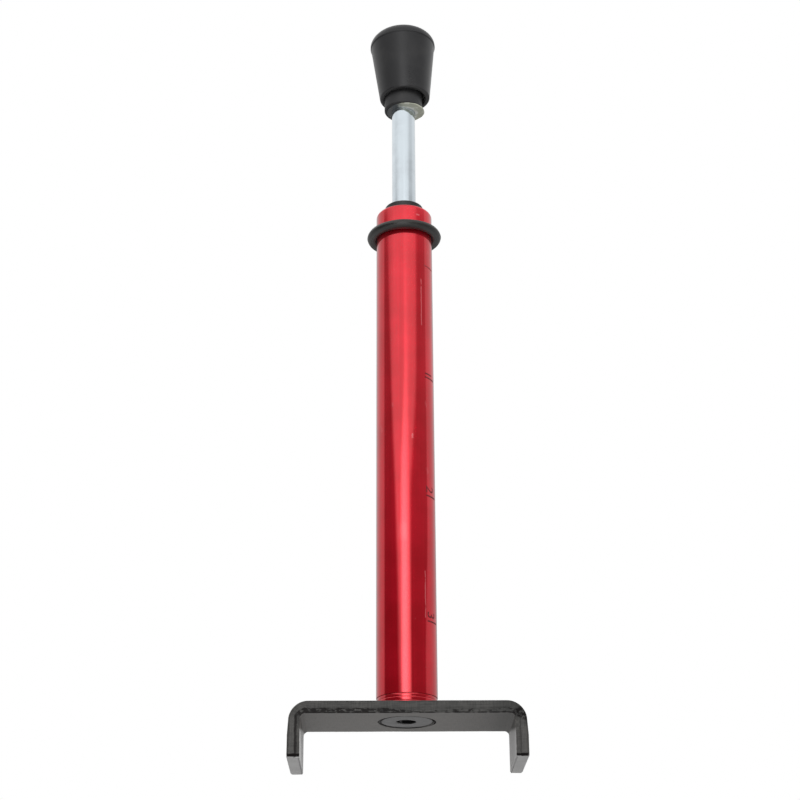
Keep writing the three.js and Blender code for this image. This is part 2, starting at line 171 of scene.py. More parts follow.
class Graph:
    """The nodes of a material or of the world."""

    def __init__(self, owner: bpy.types.Material | bpy.types.World) -> None:
        """Empties the owner's node tree, to be filled anew.

        Args:
            owner: The material or world.
        """
        owner.use_nodes = True
        self.tree = owner.node_tree
        self.tree.nodes.clear()

    def node(self, kind: str, settings: dict[str, Any], inputs: dict[Any, Any], output: int | str = 0) -> Wire:
        """Adds any node.

        Args:
            kind: The node's type.
            settings: Its settings, which are set first.
            inputs: Values or wires for its sockets, by index or name.
            output: The socket that is wanted.

        Returns:
            The wanted output.
        """
        made = self.tree.nodes.new(kind)
        for key, value in settings.items():
            setattr(made, key, value)
        for key, value in inputs.items():
            if isinstance(value, Wire):
                self.tree.links.new(value.socket, made.inputs[key])
            else:
                made.inputs[key].default_value = value
        return Wire(self, made.outputs[output])

    def math(self, operation: str, *values: Number) -> Wire:
        """Adds one Math node."""
        return self.node("ShaderNodeMath", {"operation": operation}, dict(enumerate(values)))

    def spot(self) -> Wire:
        """The point in the frame's axes, in metres."""
        return self.node("ShaderNodeTexCoord", {}, {}, "Object")

    def attribute(self, name: str) -> Wire:
        """A vector that the mesh carries."""
        return self.node("ShaderNodeAttribute", {"attribute_name": name}, {}, "Vector")

    def axes(self, vector: Wire) -> tuple[Wire, Wire, Wire]:
        """Splits a vector into its three numbers."""
        parts = self.node("ShaderNodeSeparateXYZ", {}, {0: vector})
        return tuple(Wire(self, socket) for socket in parts.socket.node.outputs)

    def reach(self, x: Wire, y: Wire) -> Wire:
        """Distance from the upright axis."""
        return self.math("SQRT", x * x + y * y)

    def bearing(self, x: Wire, y: Wire) -> Wire:
        """Degrees round the upright axis, from the viewer's side to the right."""
        return self.math("ARCTAN2", x, 0 - y) * math.degrees(1)

    def grain(self, vector: Wire, pattern: Pattern) -> Wire:
        """Draws a noise pattern.

        Args:
            vector: Its coordinates.
            pattern: Its size and detail.

        Returns:
            The noise, from 0 to 1 and about 0.5 on average.
        """
        values = {"Vector": vector, "Detail": pattern.detail, "Roughness": pattern.roughness, "Scale": 1.0}
        if isinstance(pattern.cells, tuple):
            stretched = {"Vector": vector, "Scale": pattern.cells, "Rotation": pattern.turn}
            values["Vector"] = self.node("ShaderNodeMapping", {}, stretched)
        else:
            values["Scale"] = pattern.cells
        return self.node("ShaderNodeTexNoise", {"noise_dimensions": "3D"}, values, "Fac")

    def cells(self, vector: Wire, scale: float) -> Wire:
        """Distance to the nearest of many scattered points."""
        values = {"Vector": vector, "Scale": scale}
        return self.node("ShaderNodeTexVoronoi", {"feature": "F1"}, values, "Distance")

    def step(self, value: Wire, start: float, end: float) -> Wire:
        """Makes a smooth step.

        Args:
            value: What is tested.
            start: Where the step is 0.
            end: Where it is 1, above or below the start.

        Returns:
            A mask from 0 to 1.
        """
        values = {"Value": value, "From Min": min(start, end), "From Max": max(start, end)}
        rise = self.node("ShaderNodeMapRange", {"interpolation_type": "SMOOTHSTEP"}, values)
        return rise if start < end else 1 - rise

    def near(self, value: Wire, middle: Number, reach: float, soft: float) -> Wire:
        """A mask that is 1 within reach of a middle and fades over a soft edge."""
        return self.step(abs(value - middle), reach + soft, reach)

    def flecks(self, vector: Wire, count: float, size: Corner, patches: float, share: Corner) -> Wire:
        """Masks small round marks that lie in patches: how many per unit of length, and each mask's edge."""
        return self.step(self.cells(vector, count), *size) & self.step(self.grain(vector, Pattern(patches)), *share)

    def blend(self, factor: Number, first: Any, second: Any) -> Wire:
        """Mixes two colours, each a wire or three numbers.

        Args:
            factor: 0 gives the first and 1 the second.
            first: A colour.
            second: A colour.

        Returns:
            The mixed colour.
        """
        colours = [value if isinstance(value, Wire) else (*value, 1.0) for value in (first, second)]
        inputs = {0: factor, 6: colours[0], 7: colours[1]}
        return self.node("ShaderNodeMix", {"data_type": "RGBA"}, inputs, 2)

    def show(self, kind: str, shader: Wire) -> None:
        """Links a shader to a new output node."""
        self.tree.links.new(shader.socket, self.tree.nodes.new(kind).inputs[0])


class Recipe(Graph):
    """One material's nodes, from its coordinates to its shader."""

    def __init__(self, name: str, **constants: Any) -> None:
        """Starts a material.

        Args:
            name: The material's name.
            constants: Values for the shader's own sockets, with _ for each space in a socket's name.
        """
        self.material = bpy.data.materials.new(name)
        super().__init__(self.material)
        shader = self.node("ShaderNodeBsdfPrincipled", {}, {})
        self.shader = shader.socket.node
        self.show("ShaderNodeOutputMaterial", shader)
        for socket, value in constants.items():
            self.shader.inputs[socket.replace("_", " ")].default_value = value

    def feed(self, **wires: Number) -> None:
        """Links what varies over the surface to the shader's sockets."""
        for socket, wire in wires.items():
            self.tree.links.new(wire.socket, self.shader.inputs[socket.replace("_", " ")])

    def relief(self, height: Wire, depth: float) -> None:
        """Raises the surface by a pattern, by so many metres where it is 1."""
        bump = self.node("ShaderNodeBump", {}, {"Height": height, "Distance": depth, "Strength": 1.0})
        self.feed(Normal=bump)

    def cover(self, mask: Wire, colour: Colour) -> None:
        """Lays a matt colour over the surface: dirt, grease, torn edges, and painted shade in the cradle's screw
        gap.

        Args:
            mask: Where it lies.
            colour: Its colour.
        """
        surface = self.shader.outputs[0].links[0].to_socket
        matt = self.node("ShaderNodeBsdfDiffuse", {}, {"Color": (*colour, 1)})
        mixed = self.node("ShaderNodeMixShader", {}, {0: mask, 1: Wire(self, self.shader.outputs[0]), 2: matt})
        self.tree.links.new(mixed.socket, surface)


@dataclass(frozen=True)
class Finish:
    """A surface finish, made once and shared by its pieces."""

    name: str

    def paint(self) -> Recipe:
        """Builds the material."""
        raise NotImplementedError

    @cache
    def material(self) -> bpy.types.Material:
        """Gives the material, which is made on first use."""
        return self.paint().material


@dataclass(frozen=True)
class RedAnodised(Finish):
    """Dyed anodised aluminium tube, glossy, with faint drawn lines, scuffs, a worn rim and two painted reflection
    lines.

    Each scratch, each painted reflection line and the haze are in degrees to the right and millimetres up: turn,
    height, and how far they reach.
    """

    name: str = "red_anodised_tube"
    colour: Colour = (0.76, 0.004, 0.022)
    deep: Colour = (0.62, 0.002, 0.014)
    # Pale red for scuffs and scratches, and for the two painted reflection lines.
    worn: Colour = (0.92, 0.21, 0.23)
    roughness: float = 0.1
    metal: float = 0.7
    drawn: Pattern = Pattern((1500, 1500, 12), 3)
    cloud: Pattern = Pattern(90, 4)
    turned: Pattern = Pattern((30, 30, 9000))
    scuff: Pattern = Pattern((420, 420, 160), 3, (0.5, 0.3, 0))
    scuff_edge: Corner = (0.69, 0.74)
    broken: Pattern = Pattern((600, 600, 500), 3)
    broken_edge: Corner = (0.28, 0.46)
    # The first two are painted reflection lines, pale stripes standing for a mirrored studio edge; the last two are
    # scratches.
    scratches_and_reflection_lines: tuple[Corner, ...] = (
        (35.2, 112.7, 0.4, 6.2), (38.0, 38.1, 0.4, 5.4), (29, 137.0, 3, 0.05), (13.1, 76.7, 1, 0.4))
    haze: Corner = (-7.4, 53.0, 2.4)
    relief_depth: float = 0.0035 * MM

    def paint(self) -> Recipe:
        """Builds the material.

        Returns:
            The material's nodes.
        """
        r = Recipe(self.name, Metallic=self.metal, Coat_Roughness=0.04, Coat_IOR=1.6, Specular_IOR_Level=0.2)
        spot = r.spot()
        x, y, height = r.axes(spot)
        side = r.bearing(x, y)
        drawn, cloud, turned, broken = (
            r.grain(spot, pattern) for pattern in (self.drawn, self.cloud, self.turned, self.broken))
        scuff = r.step(r.grain(spot, self.scuff), *self.scuff_edge)
        worn = scuff * 0.2 | r.flecks(spot, 700, (0.09, 0.05), 160, (0.55, 0.62)) * 0.35
        # Pale lines in the colour: first two painted reflection lines, then two scratches.
        for turn, middle, half_turn, reach in self.scratches_and_reflection_lines:
            line = r.near(side + 3 * (broken - 0.5), turn, half_turn, 1.2)
            line = line & r.near(height, middle * MM, reach * MM, 0.3 * MM)
            worn = worn | line * 0.75 * r.step(broken, *self.broken_edge)
        turn, middle, reach = self.haze
        hazy = r.near(side, turn, 4, 9) * r.near(height, middle * MM, 0.3 * reach * MM, reach * MM)
        colour = r.blend(r.step(cloud + 0.35 * (drawn - 0.5), 0.35, 0.65), self.deep, self.colour)
        r.feed(Base_Color=r.blend(worn | 0.12 * hazy, colour, self.worn))
        r.feed(Roughness=self.roughness + 0.1 * (drawn - 0.5) + 0.06 * (cloud - 0.5) + 0.2 * worn + 0.1 * hazy)
        r.feed(Coat_Weight=1 - 0.5 * worn)
        r.relief(drawn + 0.08 * turned + 0.6 * scuff, self.relief_depth)
        return r


@dataclass(frozen=True)
class BlackOxide(Finish):
    """Blackened steel bar: streaked lengthwise, torn black along its sheared edges, painted pale inside its legs and
    on their tips as reflected light, and painted dark as shade in the gap round the screw head.

    Places on the bar are millimetres along it, across it, and through it from the belt's side.
    """

    name: str = "black_oxide_bar"
    dark: Colour = (0.024, 0.024, 0.023)
    pale: Colour = (0.062, 0.060, 0.057)
    belt_side: Colour = (0.156, 0.146, 0.138)
    # Pale colour painted inside the legs and on their tips as reflected light.
    bare: Colour = (0.68, 0.675, 0.67)
    # Near-black for torn edges, and for the painted shade in the gap round the screw head.
    torn: Colour = (0.008, 0.007, 0.007)
    leg_start: float = 25.0
    tip: float = 35.0
    half_width: float = 10.0
    tear_reach: float = 1.15
    ragged: Pattern = Pattern((0.9, 1, 0.6), 4)
    patchy: Pattern = Pattern((0.9, 1, 2.2), 4, roughness=0.6)
    lip_gaps: Pattern = Pattern((0.5, 1, 1))
    blots: Pattern = Pattern((1.2, 1, 1.5), 3)
    patch_share: float = 0.65
    groove_share: float = 0.55
    bend_share: float = 0.85
    # Where the ring of painted shade in the gap round the screw head lies, and how ragged it is.
    gap_shade_radius: float = 6.35
    gap_shade_ragged: Pattern = Pattern(1.7, 3)
    streak: Pattern = Pattern((0.16, 5.5, 5.5), 4, roughness=0.65)
    sheared: Pattern = Pattern((5, 0.3, 0.3), 3)
    cloud: Pattern = Pattern((0.35, 0.5, 0.5), 4)
    grit: Pattern = Pattern(7, 3, roughness=0.7)
    relief_depth: float = 0.02 * MM

    def torn_edge(self, r: Recipe, bar: Wire) -> Wire:
        """Masks what the shear tore black along the edges, patches and a groove down the legs, and a dark line along
        the legs' ends.

        Args:
            r: The material.
            bar: The place on the bar.

        Returns:
            The mask.
        """
        along, across, through = r.axes(bar)
        edge = r.step(abs(across), self.half_width - 0.3, self.half_width - 0.15)
        ragged = r.grain(bar, self.ragged) - 0.5
        patchy = r.grain(bar, self.patchy) + 0.1 * r.step(along, 3, -3)
        reach = self.tear_reach - 0.45 * (r.step(along, -4, 0) & r.step(along, 14, 9))
        patch = r.step(through - 1.1 * ragged - reach, 0, -0.2) & r.step(patchy, 0.53, 0.6)
        lip = r.near(through, 0.14, 0.08, 0.1) & r.step(r.grain(bar, self.lip_gaps), 0.42, 0.5)
        leg = r.step(abs(along), self.leg_start, self.leg_start + 1)
        groove = leg & r.near(through + 0.5 * ragged, 0.95, 0.2, 0.14) & r.step(patchy, 0.4, 0.46)
        groove = groove * (1 - 0.8 * r.step(along, -1, 1))
        # A dark line along the foot of each leg's end.
        end = r.near(abs(along) + 0.5 * ragged, self.tip - 0.3, 0.26, 0.1) & r.step(through + ragged, 2.8, 2.4)
        bend = r.near(along - 0.5 * through, self.leg_start - 0.3, 0.8, 0.9)
        bend = bend & r.step(r.grain(bar, self.blots), 0.43, 0.53)
        sheared = (patch | lip) * (self.patch_share - 0.5 * leg)
        return edge & (sheared | self.groove_share * groove | end | self.bend_share * bend)

    def sink_gap_shade(self, r: Recipe, bar: Wire) -> Wire:
        """Masks painted shade in the gap at the countersink's mouth, thickest on its left and right.

        Args:
            r: The material.
            bar: The place on the bar.

        Returns:
            The mask.
        """
        along, across, _ = r.axes(bar)
        radius = r.reach(along, across)
        left = r.step(0 - 0.8 * along - 0.6 * across, 4.4, 6.0)
        right = r.step(along, 5.6, 6.2)
        ragged = r.grain(bar, self.gap_shade_ragged) - 0.5
        return r.step(abs(radius - self.gap_shade_radius) - 0.2 * left - 0.1 * right - 0.25 * ragged, 0.16, 0.06)

    def paint(self) -> Recipe:
        """Builds the material, on the bar attribute that the cradle's mesh carries.

        Returns:
            The material's nodes.
        """
        r = Recipe(self.name, IOR=1.5, Specular_IOR_Level=0.3)
        bar = r.attribute("bar")
        along, across, through = r.axes(bar)
        streak, sheared, cloud, grit = (
            r.grain(bar, pattern) for pattern in (self.streak, self.sheared, self.cloud, self.grit))
        spots = r.flecks(bar, 1.1, (0.13, 0.07), 0.6, (0.5, 0.58))
        face = r.step(abs(across), self.half_width - 0.1, self.half_width - 0.3)
        inside = face & r.step(through, 0.09, 0.04)
        # Painted reflection: the inner leg faces are made pale for the light that they mirror, stopping short of
        # each bend along a slanting line.
        shaded = abs(along) - 0.2 * (self.half_width - across)
        painted_leg_reflection = r.step(shaded, self.leg_start - 0.4, self.leg_start + 0.8) & inside
        # The legs' ends and their bevels are painted pale as reflected light too.
        bevel = r.step(abs(along), self.tip - 0.34, self.tip - 0.28) & face
        tip = r.step(abs(along), self.tip - 0.05, self.tip + 0.1) | bevel
        # torn also holds the painted shade of the gap round the screw head.
        torn = self.torn_edge(r, bar) | inside * self.sink_gap_shade(r, bar)
        # The front face is darker towards the right bend.
        darker_right = r.step(along, 18, 22) & r.step(along, 30, 26)
        leg = r.step(abs(along), self.leg_start, self.leg_start + 2)
        tone = r.step(0.4 * streak + 0.35 * cloud + 0.25 * sheared + 0.06 * leg - 0.08 * darker_right, 0.38, 0.62)
        colour = r.blend(tone, self.dark, self.pale)
        colour = r.blend(inside * (0.6 + 0.4 * tone - 0.25 * r.step(along, 8, 20)), colour, self.belt_side)
        # Here worn holds the painted reflection on the legs and tips.
        worn = painted_leg_reflection * (0.95 - 0.33 * r.step(along, -1, 1)) | 0.6 * tip
        colour = r.blend(worn + worn * (0.5 * (streak - 0.5) + 0.4 * (sheared - 0.5)), colour, self.bare)
        r.cover(0.9 * torn, self.torn)
        r.feed(Base_Color=r.blend(0.95 * torn | 0.7 * spots, colour, self.torn))
        r.feed(Metallic=0.15 - 0.15 * torn)
        r.feed(Roughness=0.42 + 0.2 * (cloud - 0.5) + 0.15 * (grit - 0.5) + 0.3 * torn)
        r.relief(0.5 * streak + 0.35 * grit + 0.2 * cloud - 0.8 * torn, self.relief_depth)
        return r


@dataclass(frozen=True)
class ScrewOxide(Finish):
    """Blackened screw with turned rings on its head, pale wear on its edges and grease in its socket."""

    name: str = "black_oxide_screw"
    dark: Colour = (0.082, 0.080, 0.081)
    pale: Colour = (0.20, 0.195, 0.198)
    grease: Colour = (0.006, 0.006, 0.006)
    face: float = 9.8 * MM
    grease_depth: float = 0.12 * MM
    grease_radius: Corner = (2.5 * MM, 2.35 * MM)
    edge_radius: Corner = (5.3 * MM, 5.75 * MM)
    rings_per_metre: float = 42000.0
    cloud: Pattern = Pattern(500, 4)
    grit: Pattern = Pattern(4200, 3)
    relief_depth: float = 0.006 * MM

    def paint(self) -> Recipe:
        """Builds the material.

        Returns:
            The material's nodes.
        """
        r = Recipe(self.name, IOR=1.6)
        spot = r.spot()
        x, y, height = r.axes(spot)
        radius = r.reach(x, y)
        rings = r.math("SINE", radius * self.rings_per_metre) * 0.5 + 0.5
        cloud, grit = r.grain(spot, self.cloud), r.grain(spot, self.grit)
        edge = r.step(radius, *self.edge_radius) * r.step(cloud, 0.4, 0.62)
        worn = r.blend(r.step(cloud, 0.36, 0.66) * 0.6 | edge * 0.9, self.dark, self.pale)
        deep = r.step(height, self.face, self.face + self.grease_depth)
        greasy = 0.85 * (r.step(radius, *self.grease_radius) & deep)
        r.feed(Base_Color=r.blend(greasy, worn, self.grease))
        r.cover(greasy, self.grease)
        r.feed(Metallic=0.45 + 0.3 * edge)
        r.feed(Roughness=0.4 + 0.2 * (cloud - 0.5) + 0.1 * (grit - 0.5))
        r.relief(0.35 * rings + 0.6 * grit, self.relief_depth)
        return r


class Lay(Enum):
    """Which way a metal finish's fine lines run, as cells per metre along each axis."""

    ROUND = (40, 40, 12000)
    ALONG = (2600, 2600, 25)
    NONE = (1500, 1500, 1500)


@dataclass(frozen=True)
class Metal(Finish):
    """Bare, plated or turned metal with fine tool lines and tarnish."""

    colour: Colour = (0.7, 0.7, 0.7)
    tarnish: Colour = (0.4, 0.4, 0.4)
    roughness: float = 0.25
    lay: Lay = Lay.ROUND
    cloud: Pattern = Pattern(260, 4)
    line_depth: float = 0.002 * MM

    def paint(self) -> Recipe:
        """Builds the material.

        Returns:
            The material's nodes.
        """
        r = Recipe(self.name, Metallic=1.0)
        spot = r.spot()
        lines, cloud = r.grain(spot, Pattern(self.lay.value, 3)), r.grain(spot, self.cloud)
        nick = r.flecks(spot, 900, (0.08, 0.04), 240, (0.52, 0.6))
        r.feed(Base_Color=r.blend(r.step(cloud, 0.42, 0.78) * 0.5 | nick * 0.6, self.colour, self.tarnish))
        r.feed(Roughness=self.roughness + 0.1 * (lines - 0.5) + 0.12 * (cloud - 0.5) + 0.2 * nick)
        r.relief(lines - 0.8 * nick, self.line_depth)
        return r


@dataclass(frozen=True)
class Moulded(Finish):
    """Moulded rubber or plastic with fine grain, handling shine and a little dust."""

    colour: Colour = (0.02, 0.02, 0.02)
    dusty: Colour = (0.09, 0.088, 0.085)
    roughness: float = 0.5
    grain: Pattern = Pattern(4000, 3, roughness=0.6)
    cloud: Pattern = Pattern(170, 4)
    handling: Pattern = Pattern((120, 120, 70), 3)
    grain_depth: float = 0.008 * MM
    dust: float = 0.3
    sheen: float = 0.0
    shine: float = 0.5

    def paint(self) -> Recipe:
        """Builds the material.

        Returns:
            The material's nodes.
        """
        r = Recipe(self.name, Specular_IOR_Level=self.shine, Sheen_Weight=self.sheen, Sheen_Roughness=0.4)
        spot = r.spot()
        fine, cloud = r.grain(spot, self.grain), r.grain(spot, self.cloud)
        handled = r.step(r.grain(spot, self.handling), 0.4, 0.7)
        fleck = r.flecks(spot, 620, (0.1, 0.05), 130, (0.5, 0.6))
        dusty = self.dust * (0.5 * r.step(cloud, 0.45, 0.75) | fleck)
        r.feed(Base_Color=r.blend(dusty, self.colour, self.dusty))
        r.feed(Roughness=self.roughness + 0.14 * (fine - 0.5) - 0.1 * handled + 0.15 * dusty)
        r.relief(fine + 0.5 * fleck, self.grain_depth)
        return r


@dataclass(frozen=True)
class Adhesive(Finish):
    """Cured clear adhesive, yellowed and cloudy where it is thick, with trapped bubbles."""

    name: str = "cloudy_adhesive"
    clear: Colour = (0.024, 0.026, 0.028)
    yellow: Colour = (0.40, 0.41, 0.33)
    white: Colour = (0.72, 0.73, 0.70)
    wander: Pattern = Pattern(700, 3)
    cloud: Pattern = Pattern(900, 3)
    dimples: Pattern = Pattern(900)
    heavy_edge: Corner = (-0.9 * MM, 2.0 * MM)
    inner_edge: Corner = (4.1 * MM, 3.2 * MM)
    relief_depth: float = 0.08 * MM

    def paint(self) -> Recipe:
        """Builds the material.

        Returns:
            The material's nodes.
        """
        r = Recipe(self.name, Roughness=0.2, IOR=1.5)
        spot = r.spot()
        x, y, _ = r.axes(spot)
        heavy = r.step(x - 0.36 * y + 1.2 * MM * (r.grain(spot, self.wander) - 0.5), *self.heavy_edge)
        inner = r.step(r.reach(x, y), *self.inner_edge)
        cloudy = r.step(r.grain(spot, self.cloud) + 0.3 * inner, 0.52, 0.78)
        bubble = r.flecks(spot, 1300, (0.2, 0.12), 500, (0.5, 0.56))
        colour = r.blend(heavy, self.clear, self.yellow)
        r.feed(Base_Color=r.blend(0.7 * cloudy * heavy | 0.6 * bubble, colour, self.white))
        r.relief(r.grain(spot, self.dimples) - 0.4 * bubble, self.relief_depth)
        return r


@dataclass(frozen=True)
class Ink(Finish):
    """Screen-printed ink, thin in patches and towards the top of the scale."""

    name: str = "scale_ink"
    colour: Colour = (0.050, 0.008, 0.010)
    thin: Colour = (0.26, 0.022, 0.028)
    fine: Pattern = Pattern(5200, 3)
    patches: Pattern = Pattern(1500, 3)
    fade: Corner = (95 * MM, 125 * MM)
    relief_depth: float = 0.003 * MM

    def paint(self) -> Recipe:
        """Builds the material.

        Returns:
            The material's nodes.
        """
        r = Recipe(self.name, IOR=1.5, Specular_IOR_Level=0.2)
        spot = r.spot()
        fine, height = r.grain(spot, self.fine), r.axes(spot)[2]
        patch = r.step(r.grain(spot, self.patches), 0.5, 0.75) | 0.85 * r.step(height, *self.fade)
        r.feed(Base_Color=r.blend(0.25 + 0.7 * patch, self.colour, self.thin))
        r.feed(Roughness=0.5 + 0.2 * (fine - 0.5))
        r.relief(fine, self.relief_depth)
        return r


# Modelling


@contextmanager
def editing(piece: Piece, mode: str = "VERT") -> Iterator[None]:
    """Opens a piece in edit mode with all of it selected, and closes it at the end.

    Args:
        piece: The mesh object.
        mode: What is selected: VERT, EDGE or FACE.
    """
    activate(piece)
    bpy.ops.object.mode_set(mode="EDIT")
    bpy.ops.mesh.select_mode(type=mode)
    bpy.ops.mesh.select_all(action="SELECT")
    yield
    bpy.ops.object.mode_set(mode="OBJECT")


def activate(piece: Piece) -> None:
    """Makes a piece the only one that is selected.

    Args:
        piece: The object.
    """
    bpy.ops.object.select_all(action="DESELECT")
    piece.select_set(True)
    bpy.context.view_layer.objects.active = piece


def added(name: str, operator: Callable[..., Any], **settings: Any) -> Piece:
    """Adds an object with nothing else selected, and names it.

    Args:
        name: The new object's name.
        operator: The operator that adds it.
        settings: What the operator is given.

    Returns:
        The object.
    """
    bpy.ops.object.select_all(action="DESELECT")
    operator(**settings)
    made = bpy.context.active_object
    made.name = made.data.name = name
    return made


def face_out() -> None:
    """Selects all of the open mesh and turns its faces outwards."""
    bpy.ops.mesh.select_all(action="SELECT")
    bpy.ops.mesh.normals_make_consistent(inside=False)


def draw_chain(name: str, points: Sequence[Vector]) -> Piece:
    """Draws a chain of edges, from a plane merged to one point and extruded from point to point.

    Args:
        name: The new object's name.
        points: Where the chain goes. It closes where the last point is the first.

    Returns:
        The mesh object.
    """
    piece = added(name, bpy.ops.mesh.primitive_plane_add, size=MM, location=points[0])
    with editing(piece):
        bpy.ops.mesh.merge(type="CENTER")
        for before, after in pairwise(points):
            bpy.ops.mesh.extrude_region_move(TRANSFORM_OT_translate={"value": after - before})
        bpy.ops.mesh.select_all(action="SELECT")
        bpy.ops.mesh.remove_doubles(threshold=WELD)
    return piece


def rounded(corners: Sequence[Corner], steps: int = 4) -> Outline:
    """Rounds an outline's corners.

    Args:
        corners: Radius and height of each corner, and where it is rounded its fillet radius.
        steps: Edges in each fillet.

    Returns:
        The outline's points. The first and last corner stay sharp.
    """
    points: Outline = []
    for index, corner in enumerate(corners):
        here = Vector(corner[:2])
        if len(corner) < 3 or index in (0, len(corners) - 1):
            points.append(tuple(here))
            continue
        back = (Vector(corners[index - 1][:2]) - here).normalized()
        ahead = (Vector(corners[index + 1][:2]) - here).normalized()
        half = back.angle(ahead) / 2
        run = corner[2] / math.tan(half)
        centre = here + (back + ahead).normalized() * (corner[2] / math.sin(half))
        start, end = here + back * run - centre, here + ahead * run - centre
        sweep = start.angle_signed(end)
        for step in range(steps + 1):
            spoke = start.copy()
            spoke.rotate(Matrix.Rotation(-sweep * step / steps, 2))
            points.append(tuple(centre + spoke))
    return points


def turned(name: str, outline: Sequence[tuple[float, float]], foot: float, steps: int = 128) -> Piece:
    """Turns a piece on the Z axis.

    Args:
        name: The new object's name.
        outline: Radius and height of each point. It starts and ends on the axis, or closes on itself.
        foot: Height of the outline's zero in the frame.
        steps: Sides round the axis.

    Returns:
        The mesh object.
    """
    piece = draw_chain(name, [Vector((radius, 0, foot + height)) for radius, height in outline])
    with editing(piece):
        bpy.ops.mesh.spin(steps=steps, angle=FULL_TURN, center=(0, 0, 0), axis=(0, 0, 1))
        bpy.ops.mesh.select_all(action="SELECT")
        bpy.ops.mesh.remove_doubles(threshold=WELD)
        face_out()
    return piece


def modify(piece: Piece, kind: str, **settings: Any) -> None:
    """Adds one modifier and applies it.

    Args:
        piece: The object.
        kind: The modifier's type.
        settings: Its settings.
    """
    modifier = piece.modifiers.new(kind.lower(), kind)
    for key, value in settings.items():
        setattr(modifier, key, value)
    activate(piece)
    bpy.ops.object.modifier_apply(modifier=modifier.name)


def cut_away(piece: Piece, tool: Piece) -> None:
    """Cuts one closed shape out of another, and removes the tool."""
    modify(piece, "BOOLEAN", operation="DIFFERENCE", solver="EXACT", object=tool)
    bpy.data.objects.remove(tool)


def shape(piece: Piece, move: Callable[[Vector], Vector]) -> None:
    """Moves every corner of a piece, in the frame's axes.

    Args:
        piece: The object.
        move: Gives each corner its new place.
    """
    activate(piece)
    bpy.ops.object.transform_apply(location=True, rotation=True, scale=True)
    for corner in piece.data.vertices:
        corner.co = move(corner.co.copy())
    piece.data.update()


def wave(point: Vector, size: float, shift: float = 0.0) -> float:
    """Smooth noise from -1 to 1 whose waves are about so many metres long."""
    return noise.noise(point / size + Vector((shift, 1.7 * shift, -shift)))


def smooth(piece: Piece, degrees: float = 32.0) -> None:
    """Settles a piece in place and shades it smooth, with its large faces true and its sharp edges kept.

    Args:
        piece: The mesh object.
        degrees: Edges sharper than this stay sharp.
    """
    activate(piece)
    bpy.ops.object.transform_apply(location=True, rotation=True, scale=True)
    bpy.ops.object.shade_smooth_by_angle(angle=math.radians(degrees))
    modify(piece, "WEIGHTED_NORMAL", mode="FACE_AREA", weight=50, keep_sharp=True)


def dress(piece: Piece, finish: Finish, body: Body, slot: Slot, *nodes: str) -> None:
    """Gives a shaped piece its material and body, and hides the nodes that it stands for.

    Args:
        piece: The mesh object.
        finish: Its finish.
        body: The body that it rides on.
        slot: The record's slot; not used.
        nodes: The frame's nodes that it replaces.
    """
    piece.data.materials.clear()
    piece.data.materials.append(finish.material())
    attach(piece, body.value)
    if nodes:
        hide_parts(*nodes)
    log.info("%s: %d faces, on %s", piece.name, len(piece.data.polygons), body.value)


def lathe(name: str, corners: Sequence[Corner], foot: float, arcs: int, sides: int) -> Piece:
    """Turns a smooth piece from its corners.

    Args:
        name: The new object's name.
        corners: Radius, height and any fillet radius of each corner.
        foot: Height of the corners' zero in the frame.
        arcs: Edges in each fillet.
        sides: Sides round the axis.

    Returns:
        The mesh object.
    """
    piece = turned(name, rounded(corners, arcs), foot, sides)
    smooth(piece)
    return piece


@cache
def span(node: str) -> tuple[float, float, float]:
    """A node's foot, top and outer radius, as the frame has them."""
    low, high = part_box(node)
    return low.z, high.z, (high.x - low.x) / 2


def hexagon(name: str, across_flats: float, foot: float, top: float) -> Piece:
    """A six-sided cutter for a socket, with slightly hollowed corners.

    Args:
        name: The object's name.
        across_flats: Its width across two flats.
        foot: Height of its lower end.
        top: Height of its upper end.

    Returns:
        The bar.
    """
    tool = added(name, bpy.ops.mesh.primitive_cylinder_add, vertices=6, radius=across_flats / math.sqrt(3),
                 depth=top - foot, location=(0, 0, (foot + top) / 2), rotation=(0, 0, SOCKET_TURN))
    with editing(tool, "EDGE"):
        bpy.ops.mesh.bevel(offset=0.02 * across_flats, segments=2)
    return tool


# Cradle


